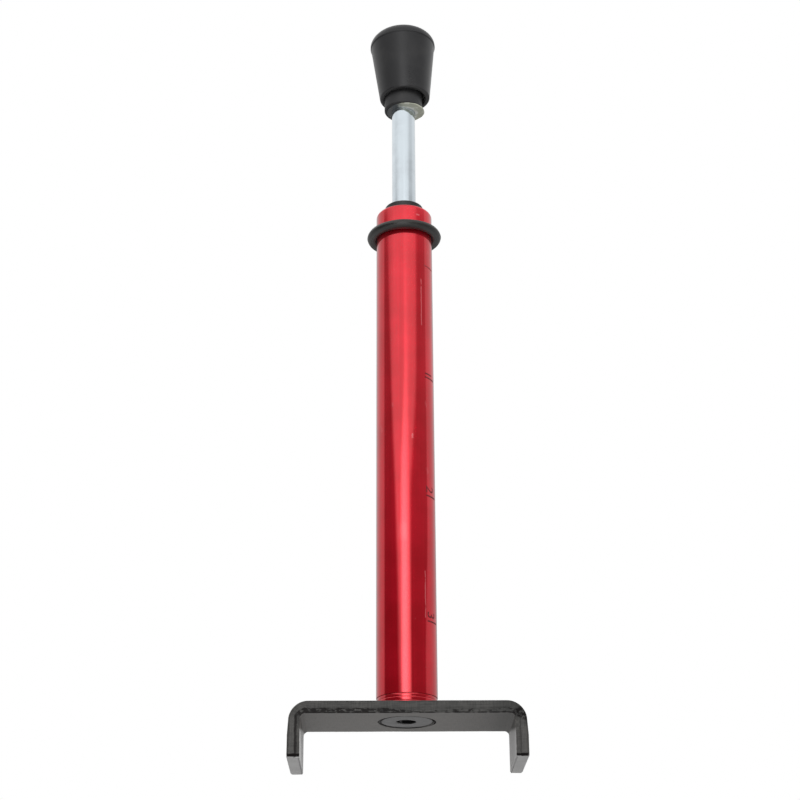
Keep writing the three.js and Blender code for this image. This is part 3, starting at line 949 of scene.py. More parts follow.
@dataclass
class Cradle:
    """The U-shaped bracket, bent from a sheared bar, and the countersunk screw in it."""

    inner_width: float = 47.4 * MM
    bar_width: float = 20 * MM
    thickness: float = 2.85 * MM
    inner_radius: float = 1 * MM
    outer_radius: float = 4.3 * MM
    pull_in: float = 0.22 * MM
    pull_end: float = 5 * MM
    reach: float = 9.7 * MM
    leg_error: float = 0.1 * MM
    lean: float = 0.001
    bend_swell: float = 0.016
    tear_height: float = 1.12 * MM
    tear_depth: float = 0.14 * MM
    tear_waviness: float = 0.16 * MM
    face_ripple: float = 0.025 * MM
    edge_ripple: float = 0.03 * MM
    roll_over: float = 0.5 * MM
    step_length: float = 0.3 * MM
    flat_steps: int = 14
    corner_steps: int = 4
    tip_bevel: float = 0.3 * MM
    sink_radius: float = 6.25 * MM
    sink_land: float = 0.35 * MM
    sink_edge: float = 0.12 * MM
    sink_shift: float = -0.2 * MM
    throat_radius: float = 3.3 * MM
    oxide: Finish = field(default_factory=BlackOxide)

    @property
    def bend_x(self) -> float:
        """Where the flat part ends and each bend starts, on the belt's side."""
        return self.inner_width / 2 - self.inner_radius

    @property
    def bend_z(self) -> float:
        """Height where each bend ends, on the belt's side."""
        return self.reach - self.inner_radius

    @property
    def arc_length(self) -> float:
        """Length of each bend along the bar's middle."""
        return (self.inner_radius + self.thickness / 2) * math.pi / 2

    def bent(self, bar: Vector) -> Vector:
        """Bends a point of the straight bar into place.

        Args:
            bar: Metres along the bar, across it, and through it from the belt's side.

        Returns:
            The point in the frame.
        """
        run, side, share = abs(bar.x), math.copysign(1, bar.x), bar.z / self.thickness
        outer_x = self.inner_width / 2 + self.thickness - self.outer_radius - self.pull_in
        outer_z = self.reach + self.thickness - self.outer_radius
        if run <= self.bend_x:
            flat = self.bend_x + (outer_x - self.bend_x) * share
            return Vector((side * flat * run / self.bend_x, bar.y, self.reach + bar.z))
        if run <= self.bend_x + self.arc_length:
            angle = (run - self.bend_x) / self.arc_length * math.pi / 2
            across, up = math.sin(angle), math.cos(angle)
            inner = Vector((self.bend_x + self.inner_radius * across, self.bend_z + self.inner_radius * up))
            outer = Vector((outer_x + self.outer_radius * across, outer_z + self.outer_radius * up))
            place = inner.lerp(outer, share)
            swell = 1 + self.bend_swell * (1 - 2 * share) * math.sin(2 * angle) ** 2
            return Vector((side * place.x, bar.y * swell, place.y))
        left = 1 - (run - self.bend_x - self.arc_length) / self.bend_z
        height = (self.bend_z + (outer_z - self.bend_z) * share) * left + side * self.leg_error * (1 - left)
        pull = self.pull_in * share * min(1.0, max(0.0, (height - self.pull_end) / (outer_z - self.pull_end)))
        return Vector((side * (self.inner_width / 2 + bar.z - pull), bar.y, height))

    def straightened(self, point: Vector) -> Vector:
        """Finds about where a point of the bent bar lay in the straight one.

        Args:
            point: A point in the frame.

        Returns:
            Millimetres along the bar, across it and through it.
        """
        run, side = abs(point.x), math.copysign(1, point.x)
        if run <= self.bend_x:
            along, through = run, point.z - self.reach
        elif point.z >= self.bend_z:
            angle = math.atan2(run - self.bend_x, point.z - self.bend_z)
            along = self.bend_x + angle * 2 / math.pi * self.arc_length
            through = math.hypot(run - self.bend_x, point.z - self.bend_z) - self.inner_radius
        else:
            along = self.bend_x + self.arc_length + self.bend_z - point.z
            through = run - self.inner_width / 2
        return Vector((side * along, point.y, through)) / MM

    def edge_outline(self) -> Outline:
        """One sheared edge, from the belt's side up: torn, then burnished, then rolled over.

        Returns:
            How far each point lies inside the bar's width, and its height through the bar.
        """
        torn = [(0.13, 0.0), (0.09, 0.08), (0.10, 0.22), (0.08, 0.38), (0.10, 0.54), (0.08, 0.7), (0.09, 0.86)]
        burnished = [(0.05, 1.02), (0.0, 1.16), (0.0, 1.5), (0.0, 1.9), (0.0, 2.25)]
        points = [(inset * MM, height * MM) for inset, height in torn + burnished]
        top = self.thickness - self.roll_over
        for step in range(self.corner_steps + 1):
            angle = step / self.corner_steps * math.pi / 2
            inset = self.roll_over * (1 - math.cos(angle))
            points.append((inset, top + self.roll_over * math.sin(angle)))
        return points

    def section(self) -> list[Vector]:
        """The straight bar's section at its middle, as a closed chain across and through the bar.

        Returns:
            The chain's points, the first once more at its end.
        """
        half, edge = self.bar_width / 2, self.edge_outline()
        front = [Vector((0, inset - half, height)) for inset, height in edge]
        back = [Vector((0, half - inset, height)) for inset, height in reversed(edge)]
        flats = [step / self.flat_steps for step in range(1, self.flat_steps)]
        top = [front[-1].lerp(back[0], share) for share in flats]
        foot = [back[-1].lerp(front[0], share) for share in flats]
        return [*front, *top, *back, *foot, front[0]]

    def torn(self, bar: Vector) -> Vector:
        """Roughens the torn part of the edges and ripples the whole bar a little.

        Args:
            bar: A corner of the straight bar.

        Returns:
            The moved corner.
        """
        half = self.bar_width / 2
        moved = bar.copy()
        edge = abs(bar.y) > half - 0.2 * MM
        if edge and bar.z < self.tear_height + 0.2 * MM:
            bite = 0.5 + 0.5 * wave(bar, 0.55 * MM, 3.0) + 0.35 * wave(bar, 0.2 * MM, 5.0)
            share = min(1.0, max(0.0, (self.tear_height + 0.15 * MM - bar.z) / (0.3 * MM)))
            moved.y -= math.copysign(self.tear_depth * bite * share, bar.y)
            moved.z += self.tear_waviness * wave(bar, 1.6 * MM, 9.0) * (bar.z > 0.3 * MM)
        moved.z += self.face_ripple * wave(bar, 6 * MM, 1.0)
        moved.y += self.edge_ripple * wave(bar, 9 * MM, 2.0)
        return moved

    def build_bar(self) -> Piece:
        """Makes the bracket: section, half bar, mirror, tear, bend and countersink.

        Returns:
            The finished mesh object.
        """
        piece = draw_chain("belt_cradle_bar", self.section())
        length = self.bend_x + self.arc_length + self.bend_z - self.tip_bevel
        steps = round(length / self.step_length)
        with editing(piece, "EDGE"):
            for _ in range(steps):
                bpy.ops.mesh.extrude_region_move(TRANSFORM_OT_translate={"value": (length / steps, 0, 0)})
            bpy.ops.mesh.edge_face_add()
            bpy.ops.mesh.select_mode(type="FACE")
            bpy.ops.mesh.inset(thickness=self.tip_bevel, depth=self.tip_bevel)
        modify(piece, "MIRROR", use_axis=(True, False, False), merge_threshold=WELD)
        with editing(piece):
            face_out()
        shape(piece, lambda point: self.bent(self.torn(point)))
        cut_away(piece, self.sink_tool())
        self.mark_bar(piece)
        shape(piece, lambda point: Matrix.Rotation(-self.lean, 3, "Y") @ point)
        smooth(piece, 40)
        return piece

    def sink_tool(self) -> Piece:
        """The countersink's cutter, a little off centre and not quite round.

        Returns:
            The cutter.
        """
        radius, mouth, over = self.sink_radius, self.sink_radius + self.sink_edge, 1 * MM
        depth, top = self.sink_land + radius - self.throat_radius, self.thickness + over
        outline = [
            (0, -over), (mouth, -over), (mouth, 0.0), (radius, self.sink_edge), (radius, self.sink_land),
            (self.throat_radius, depth), (self.throat_radius, top), (0, top),
        ]
        tool = turned("sink_tool", outline, self.reach, 96)
        shape(tool, self.roughened)
        return tool

    def roughened(self, point: Vector) -> Vector:
        """Puts a corner of the countersink's cutter off centre and a little out of round."""
        swell = 1 + 0.012 * wave(point, 2.2 * MM, 4.0)
        return Vector((point.x * swell + self.sink_shift, point.y * swell, point.z))

    def mark_bar(self, piece: Piece) -> None:
        """Stores each corner's place in the straight bar, for the material.

        Args:
            piece: The bent bar.
        """
        marks = piece.data.attributes.new("bar", "FLOAT_VECTOR", "POINT")
        for index, corner in enumerate(piece.data.vertices):
            marks.data[index].vector = self.straightened(corner.co)

    def build(self) -> None:
        """Makes the bracket and its screw."""
        dress(self.build_bar(), self.oxide, Body.GAUGE, Slot.BLACKENED_STEEL, "belt_cradle")
        CradleScrew().build()


def threaded(point: Vector, foot: float, top: float, radius: float, pitch: float, depth: float) -> Vector:
    """Cuts a thread into a shank by moving the corners of its side.

    Args:
        point: A corner of the shank.
        foot: Height where the thread starts.
        top: Height where it ends.
        radius: The shank's radius.
        pitch: The thread's pitch.
        depth: The thread's depth.

    Returns:
        The moved corner.
    """
    reach = math.hypot(point.x, point.y)
    if reach < radius * 0.7 or not foot < point.z < top:
        return point
    phase = (point.z / pitch - math.atan2(point.y, point.x) / FULL_TURN) % 1
    tooth = abs(2 * phase - 1)
    fade = min(1.0, (point.z - foot) / pitch, (top - point.z) / pitch)
    share = 1 - depth * fade * (1 - tooth) / reach
    return Vector((point.x * share, point.y * share, point.z))


@dataclass
class CradleScrew:
    """Countersunk screw with a hexagon socket, its point up in the end plug."""

    head_radius: float = 5.8 * MM
    shank_radius: float = 3 * MM
    land: float = 0.2 * MM
    socket: float = 4 * MM
    socket_depth: float = 2.4 * MM
    socket_chamfer: float = 0.22 * MM
    socket_shift: float = -0.22 * MM
    tip_chamfer: float = 0.8 * MM
    runout: float = 0.3 * MM
    pitch: float = 1 * MM
    thread_depth: float = 0.54 * MM
    rows_per_turn: int = 8

    def build(self) -> None:
        """Turns the screw, cuts its socket and its thread."""
        foot, top, _ = span("cradle_screw")
        length, head, shank = top - foot, self.head_radius, self.shank_radius
        neck, bare = self.land + head - shank, length - self.tip_chamfer
        rows = round((bare - neck) / self.pitch * self.rows_per_turn)
        side = [(shank, neck + (bare - neck) * row / rows) for row in range(1, rows)]
        face = [(0, 0), (head, 0, 0.09 * MM), (head, self.land, 0.05 * MM), (shank, neck)]
        tip = [(shank, bare), (shank - self.tip_chamfer, length), (0, length)]
        piece = turned("cradle_screw_socketed", [*rounded(face), *side, *tip], foot, 64)
        wide, deep = 0.6 * self.socket, self.socket_chamfer
        chamfer = [(0, -LEAD), (wide, -LEAD), (wide, 0), (0.5 * self.socket, deep), (0, deep)]
        tools = (turned("socket_chamfer", chamfer, foot, 48),
                 hexagon("socket_tool", self.socket, foot - LEAD, foot + self.socket_depth))
        for tool in tools:
            shape(tool, lambda point: point + Vector((self.socket_shift, -self.socket_shift, 0)))
            cut_away(piece, tool)
        thread = (foot + neck + self.runout, top, shank, self.pitch, self.thread_depth)
        shape(piece, lambda point: threaded(point, *thread))
        smooth(piece, 30)
        dress(piece, ScrewOxide(), Body.GAUGE, Slot.BLACKENED_SCREW, "cradle_screw")


# Barrel


@dataclass
class BarrelGroup:
    """The red tube, its end plug, the guide bush in its mouth and the scale printed on it."""

    bore: float = 5 * MM
    mouth_edge: float = 0.75 * MM
    foot_edge: float = 0.05 * MM
    fine_edge: float = 0.08 * MM
    bore_chamfer: float = 0.3 * MM
    flange_height: float = 2.45 * MM
    flange_chamfer: float = 0.35 * MM
    flange_edge: float = 0.15 * MM
    flange_lines: int = 2
    line_reach: float = 0.11 * MM
    line_depth: float = 0.045 * MM
    line_edge: float = 0.03 * MM
    spigot_gap: float = 0.15 * MM
    tap_chamfer: float = 0.6 * MM
    ease: float = 0.4 * MM
    bush_edge: float = 0.25 * MM
    bush_hole_edge: float = 0.12 * MM
    bush_sink: float = 0.33 * MM
    anodised: Finish = field(default_factory=RedAnodised)
    acetal: Finish = field(default_factory=lambda: Moulded(
        "black_acetal", colour=(0.012, 0.012, 0.012), roughness=0.38, grain_depth=0.004 * MM, dust=0.25))

    def build_tube(self) -> None:
        """Turns the tube, with a rounded mouth and eased edges."""
        foot, top, radius = span("barrel")
        length, inner, edge = top - foot, self.bore_chamfer, self.fine_edge
        corners = [
            (self.bore + inner, 0), (radius, 0, self.foot_edge), (radius, length, self.mouth_edge),
            (self.bore + inner, length, edge), (self.bore, length - inner, edge), (self.bore, inner, edge),
            (self.bore + inner, 0),
        ]
        piece = lathe("barrel_tube", corners, foot, 8, 160)
        dress(piece, self.anodised, Body.GAUGE, Slot.RED_ANODISED, "barrel")

    def build_plug(self) -> None:
        """Turns the end plug: lined flange, spigot and tapped hole."""
        foot, top, radius = span("end_plug")
        height, flange, spigot = top - foot, self.flange_height, self.bore - self.spigot_gap
        chamfer, ease, mouth = self.flange_chamfer, self.ease, SHAFT_HOLE + self.tap_chamfer
        lines: list[Corner] = []
        for line in range(1, self.flange_lines + 1):
            middle = flange * line / (self.flange_lines + 1)
            for rise, depth in ((-self.line_reach, 0), (0, self.line_depth), (self.line_reach, 0)):
                lines.append((radius - depth, middle + rise, self.line_edge))
        corners = [
            (mouth, 0), (radius - chamfer, 0, self.fine_edge), (radius, chamfer, self.flange_edge), *lines,
            (radius, flange, self.foot_edge), (spigot, flange, SOFT), (spigot, height - ease, SOFT),
            (spigot - ease, height, SOFT), (SHAFT_HOLE, height, SOFT), (SHAFT_HOLE, self.tap_chamfer, SOFT),
            (mouth, 0),
        ]
        piece = lathe("end_plug_turned", corners, foot, 3, 128)
        dress(piece, self.anodised, Body.GAUGE, Slot.RED_ANODISED, "end_plug")

    def build_bush(self) -> None:
        """Turns the guide bush, with a rounded outer edge."""
        foot, top, radius = span("guide_bush")
        height, hole, ease = top - foot - self.bush_sink, SHAFT_HOLE, self.ease
        corners = [
            (hole + ease, 0), (radius - ease, 0, SOFT), (radius, ease, SOFT), (radius, height, self.bush_edge),
            (hole + ease, height, self.bush_hole_edge), (hole, height - ease, self.bush_hole_edge),
            (hole, ease, SOFT), (hole + ease, 0),
        ]
        piece = lathe("guide_bush_turned", corners, foot, 5, 96)
        dress(piece, self.acetal, Body.GAUGE, Slot.BLACK_PLASTIC, "guide_bush")

    def build(self) -> None:
        """Makes the tube and what is fixed in or on it."""
        self.build_tube()
        self.build_plug()
        self.build_bush()
        ScalePrint().build()


@dataclass
class ScalePrint:
    """The scale on the barrel's right side: a line at each step, and a number over all but the first."""

    first_line: float = 31.9 * MM
    pitch: float = 30.43 * MM
    start_angle: float = math.radians(43)
    line_length: float = 3.9 * MM
    line_width: float = 0.36 * MM
    number_height: float = 2.7 * MM
    number_gap: float = 0.62 * MM
    capital_share: float = 0.7
    serif_share: float = 0.16
    ink_depth: float = 0.02 * MM
    ink_bite: float = 0.004 * MM
    bleed: float = 0.03 * MM
    slices: int = 10
    numbers: tuple[str, ...] = ("3", "2", "1", "")
    ink: Finish = field(default_factory=Ink)

    def printed(self, point: Vector, height: float, seed: float) -> Vector:
        """Prints a corner of a flat mark on the barrel, its top to the right and its reading direction down.

        Args:
            point: The corner of the flat mark.
            height: Where the mark's middle or start goes on the barrel.
            seed: Picks how its edge is ragged.

        Returns:
            The corner in the frame.
        """
        ragged = point + self.bleed * Vector((1, 1.2, 0)) * wave(point, 0.35 * MM, seed)
        radius = span("barrel")[2] - self.ink_bite + ragged.z
        angle = self.start_angle + ragged.y / radius
        return Vector((radius * math.sin(angle), -radius * math.cos(angle), height - ragged.x))

    def build_line(self, name: str, height: float) -> None:
        """Prints one line round the barrel.

        Args:
            name: The object's name.
            height: Where it goes on the barrel.
        """
        piece = added(name, bpy.ops.mesh.primitive_grid_add, x_subdivisions=4, y_subdivisions=26, size=1)
        piece.scale = (self.line_width, self.line_length, 1)
        piece.location = (0, self.line_length / 2, 0)
        with editing(piece, "FACE"):
            bpy.ops.mesh.extrude_region_move(TRANSFORM_OT_translate={"value": (0, 0, self.ink_depth)})
            face_out()
        self.print_on(piece, Vector(), height, 40 * height / MM)

    def print_on(self, piece: Piece, lift: Vector, height: float, seed: float) -> None:
        """Wraps a flat mark round the barrel and inks it.

        Args:
            piece: The mark's mesh.
            lift: What moves it to its place in the flat.
            height: Where its middle or start goes on the barrel.
            seed: Picks how its edge is ragged.
        """
        shape(piece, lambda point: self.printed(point + lift, height, seed))
        smooth(piece, 40)
        dress(piece, self.ink, Body.GAUGE, Slot.RED_ANODISED)

    def build_number(self, text: str, height: float) -> None:
        """Prints one number over its line.

        Args:
            text: The number.
            height: Height of the line it belongs to.
        """
        words = added(f"scale_number_{text}", bpy.ops.object.text_add, location=(0, 0, 0))
        words.data.body = text
        words.data.size = self.number_height / self.capital_share
        words.data.extrude = self.ink_depth / 2
        words.data.resolution_u = 6
        bpy.ops.object.convert(target="MESH")
        piece = bpy.context.active_object
        if text == "1":
            self.trim_foot(piece)
        self.slice(piece)
        right = max(corner.co.x for corner in piece.data.vertices)
        start = height + self.line_width / 2 + self.number_gap
        self.print_on(piece, Vector((-right, 0.0, self.ink_depth / 2)), start, 7.0)

    def trim_foot(self, piece: Piece) -> None:
        """Takes the foot serif off the one, and lengthens its stem again.

        Args:
            piece: The number's mesh.
        """
        serif = self.serif_share * self.number_height
        with editing(piece):
            bpy.ops.mesh.bisect(plane_co=(0, serif, 0), plane_no=(0, 1, 0), use_fill=True, clear_inner=True)
        foot = min(corner.co.y for corner in piece.data.vertices)
        for corner in piece.data.vertices:
            corner.select = corner.co.y < foot + WELD
        activate(piece)
        bpy.ops.object.mode_set(mode="EDIT")
        bpy.ops.transform.translate(value=(0, -foot, 0))
        bpy.ops.object.mode_set(mode="OBJECT")

    def slice(self, piece: Piece) -> None:
        """Slices a number across its height, so that it can follow the barrel.

        Args:
            piece: The number's mesh.
        """
        with editing(piece):
            bpy.ops.mesh.remove_doubles(threshold=WELD)
            for row in range(1, self.slices):
                bpy.ops.mesh.select_all(action="SELECT")
                place = (0, self.number_height * row / self.slices, 0)
                bpy.ops.mesh.bisect(plane_co=place, plane_no=(0, 1, 0))
            face_out()

    def build(self) -> None:
        """Prints every line and number."""
        for index, text in enumerate(self.numbers):
            height = self.first_line + index * self.pitch
            self.build_line(f"scale_line_{len(self.numbers) - 1 - index}", height)
            if text:
                self.build_number(text, height)


# Force mechanism


@dataclass
class ForceSpring:
    """The compression spring, with closed and ground ends."""

    wire: float = 1.2 * MM
    outer_diameter: float = 9.3 * MM
    turns: float = 28.0
    end_turns: float = 1.5
    end_pitch: float = 1.3 * MM
    coiling_pitch: float = 3 * MM
    steps_per_turn: int = 28
    grind: float = 0.4 * MM
    travel_joint: str = "plunger_slide"
    steel: Finish = field(default_factory=lambda: Metal(
        "spring_wire", colour=(0.42, 0.42, 0.41), tarnish=(0.16, 0.13, 0.11), roughness=0.32, lay=Lay.NONE))

    def wound(self, point: Vector, foot: float, length: float) -> Vector:
        """Moves a corner of the evenly wound coil to where the real pitch puts it.

        Args:
            point: The corner, on a coil that rises by one coiling pitch a turn from height zero.
            foot: Height of the spring's unground foot.
            length: The spring's unground length.

        Returns:
            The moved corner.
        """
        angle = math.atan2(point.y, point.x) / FULL_TURN
        turn = angle + round(point.z / self.coiling_pitch - angle)
        rise = self.end_turns * self.end_pitch
        pitch = (length - self.wire - 2 * rise) / self.turns
        ends = min(turn, self.end_turns) + max(0.0, turn - self.end_turns - self.turns)
        middle = min(max(0.0, turn - self.end_turns), self.turns)
        height = foot + self.wire / 2 + self.end_pitch * ends + pitch * middle
        return Vector((point.x, point.y, height + point.z - turn * self.coiling_pitch))

    def build(self) -> None:
        """Coils the wire, grinds both ends and reads the plunger's travel, which nothing uses."""
        foot, top, _ = span("force_spring")
        length, radius = top - foot, (self.outer_diameter - self.wire) / 2
        piece = added("force_spring_coil", bpy.ops.mesh.primitive_circle_add, vertices=10, radius=self.wire / 2,
                      location=(radius, 0, 0), rotation=(math.pi / 2, 0, 0))
        bpy.ops.object.transform_apply(location=True, rotation=True, scale=True)
        modify(piece, "SCREW", axis="Z", steps=self.steps_per_turn, screw_offset=self.coiling_pitch,
               iterations=round(self.turns + 2 * self.end_turns), use_smooth_shade=True)
        shape(piece, lambda point: self.wound(point, foot - self.grind, length + 2 * self.grind))
        for height, up in ((foot, 1), (top, -1)):
            with editing(piece):
                bpy.ops.mesh.bisect(plane_co=(0, 0, height), plane_no=(0, 0, up), use_fill=True, clear_inner=True)
        with editing(piece):
            bpy.ops.mesh.fill_holes(sides=0)
            face_out()
        smooth(piece, 40)
        dress(piece, self.steel, Body.GAUGE, Slot.SPRING_STEEL, "force_spring")
        joint = next(joint for joint in frame["joints"] if joint["name"] == self.travel_joint)
        travel = max(abs(limit) for limit in joint["range_m"])
        1 - travel / length
        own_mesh(piece)


@dataclass
class ForceTrain:
    """What the spring bears on at each end, and the piston that the rod ends in."""

    hole: float = 1.65 * MM
    thrust_hole: float = 3.05 * MM
    nose_radius: float = 2.9 * MM
    nose_length: float = 3 * MM
    nose_edge: float = 0.15 * MM
    ease: float = 0.4 * MM
    groove_mouth: float = 0.5 * MM
    groove_floor: float = 0.3 * MM
    groove_depth: float = 0.35 * MM
    groove_edge: float = 0.08 * MM
    bumper_edge: float = 0.6 * MM
    bumper_hole_edge: float = 0.15 * MM
    slit_width: float = 0.6 * MM
    slit_slant: float = math.radians(20)
    screw_shank: float = 1.5 * MM
    screw_head: float = 1.7 * MM
    screw_head_edge: float = 0.35 * MM
    screw_pitch: float = 0.5 * MM
    screw_thread: float = 0.3 * MM
    screw_runout: float = 0.3 * MM
    screw_socket: float = 2 * MM
    screw_socket_depth: float = 1 * MM
    zinc: Finish = field(default_factory=lambda: Metal(
        "zinc_plate", colour=(0.62, 0.64, 0.66), tarnish=(0.40, 0.39, 0.36), roughness=0.34, lay=Lay.NONE))
    brass: Finish = field(default_factory=lambda: Metal(
        "piston_brass", colour=(0.72, 0.52, 0.24), tarnish=(0.42, 0.27, 0.12), roughness=0.28,
        line_depth=0.006 * MM))
    rubber: Finish = field(default_factory=lambda: Moulded(
        "bumper_rubber", colour=(0.016, 0.016, 0.016), roughness=0.6, dust=0.2))

    def build_washer(self, node: str, hole: float, body: Body) -> None:
        """Makes a flat washer with the soft edges of a stamping.

        Args:
            node: The washer's CAD node.
            hole: Radius of its hole.
            body: The body that it rides on.
        """
        foot, top, radius = span(node)
        height = top - foot
        soft = height * 0.3
        corners = [
            (hole, height / 2), (hole, 0, soft), (radius, 0, soft), (radius, height, soft), (hole, height, soft),
            (hole, height / 2),
        ]
        dress(lathe(f"{node}_stamped", corners, foot, 4, 72), self.zinc, body, Slot.ZINC_PLATED, node)

    def build_piston(self) -> None:
        """Turns the piston, with an oil groove and a nose that centres the spring."""
        foot, top, radius = span("piston")
        length, seat, ease, nose = top - foot, self.nose_length, self.ease, self.nose_radius
        middle, sunk = (seat + length) / 2, radius - self.groove_depth
        corners = [
            (self.hole, 0), (nose - ease, 0, SOFT), (nose, ease, self.nose_edge), (nose, seat, SOFT),
            (radius - ease, seat, SOFT), (radius, seat + ease, SOFT),
            (radius, middle - self.groove_mouth, self.groove_edge), (sunk, middle - self.groove_floor, SOFT),
            (sunk, middle + self.groove_floor, SOFT), (radius, middle + self.groove_mouth, self.groove_edge),
            (radius, length - ease, SOFT), (radius - ease, length, SOFT), (self.hole, length), (self.hole, 0),
        ]
        piece = lathe("piston_turned", corners, foot, 3, 96)
        dress(piece, self.brass, Body.PLUNGER, Slot.TURNED_BRASS, "piston")

    def build_bumper(self) -> None:
        """Makes the rubber ring that stops the return."""
        foot, top, radius = span("return_bumper")
        hole, height, edge, inner = SHAFT_HOLE, top - foot, self.bumper_edge, self.bumper_hole_edge
        corners = [
            (hole, height / 2), (hole, 0, inner), (radius, 0, edge), (radius, height, edge), (hole, height, inner),
            (hole, height / 2),
        ]
        piece = lathe("return_bumper_ring", corners, foot, 5, 72)
        dress(piece, self.rubber, Body.PLUNGER, Slot.RING_RUBBER, "return_bumper")

    def build_lock_washer(self) -> None:
        """Makes the split washer, with a slanting slit."""
        foot, top, radius = span("lock_washer")
        height, over = top - foot, 2 * MM
        corners = [(self.hole, 0), (radius, 0, SOFT), (radius, height, SOFT), (self.hole, height), (self.hole, 0)]
        piece = turned("lock_washer_split", rounded(corners), foot, 72)
        tool = added("slit_tool", bpy.ops.mesh.primitive_cube_add, size=1,
                     location=((radius + over) / 2, 0, (foot + top) / 2))
        tool.scale = (radius + over, self.slit_width, 2 * over)
        tool.rotation_euler.x = self.slit_slant
        cut_away(piece, tool)
        smooth(piece, 35)
        dress(piece, self.zinc, Body.PLUNGER, Slot.ZINC_PLATED, "lock_washer")

    def build_screw(self) -> None:
        """Turns the piston's screw and cuts its socket and thread."""
        foot, top, head = span("piston_screw")
        length, shank, head_height, pitch = top - foot, self.screw_shank, self.screw_head, self.screw_pitch
        start, end = head_height + self.screw_runout, length - self.ease
        rows = round((end - start) / pitch * 8)
        side = [(shank, start + (end - start) * row / rows) for row in range(rows + 1)]
        face = [(0, 0), (head, 0, self.screw_head_edge), (head, head_height, 0.08 * MM), (shank, head_height)]
        tip = [(shank - self.ease, length), (0, length)]
        piece = turned("piston_screw_socketed", [*rounded(face), *side, *tip], foot, 48)
        tool = hexagon("small_socket_tool", self.screw_socket, foot - LEAD, foot + self.screw_socket_depth)
        cut_away(piece, tool)
        thread = (foot + start, foot + end, shank, pitch, self.screw_thread)
        shape(piece, lambda point: threaded(point, *thread))
        smooth(piece, 30)
        dress(piece, self.zinc, Body.PLUNGER, Slot.ZINC_PLATED, "piston_screw")

    def build(self) -> None:
        """Makes the spring and all that works with it."""
        ForceSpring().build()
        self.build_washer("preload_shim", SHAFT_HOLE, Body.GAUGE)
        self.build_washer("thrust_washer", self.thrust_hole, Body.SPRING_END)
        self.build_piston()
        self.build_lock_washer()
        self.build_screw()
        self.build_bumper()


# Plunger and knob


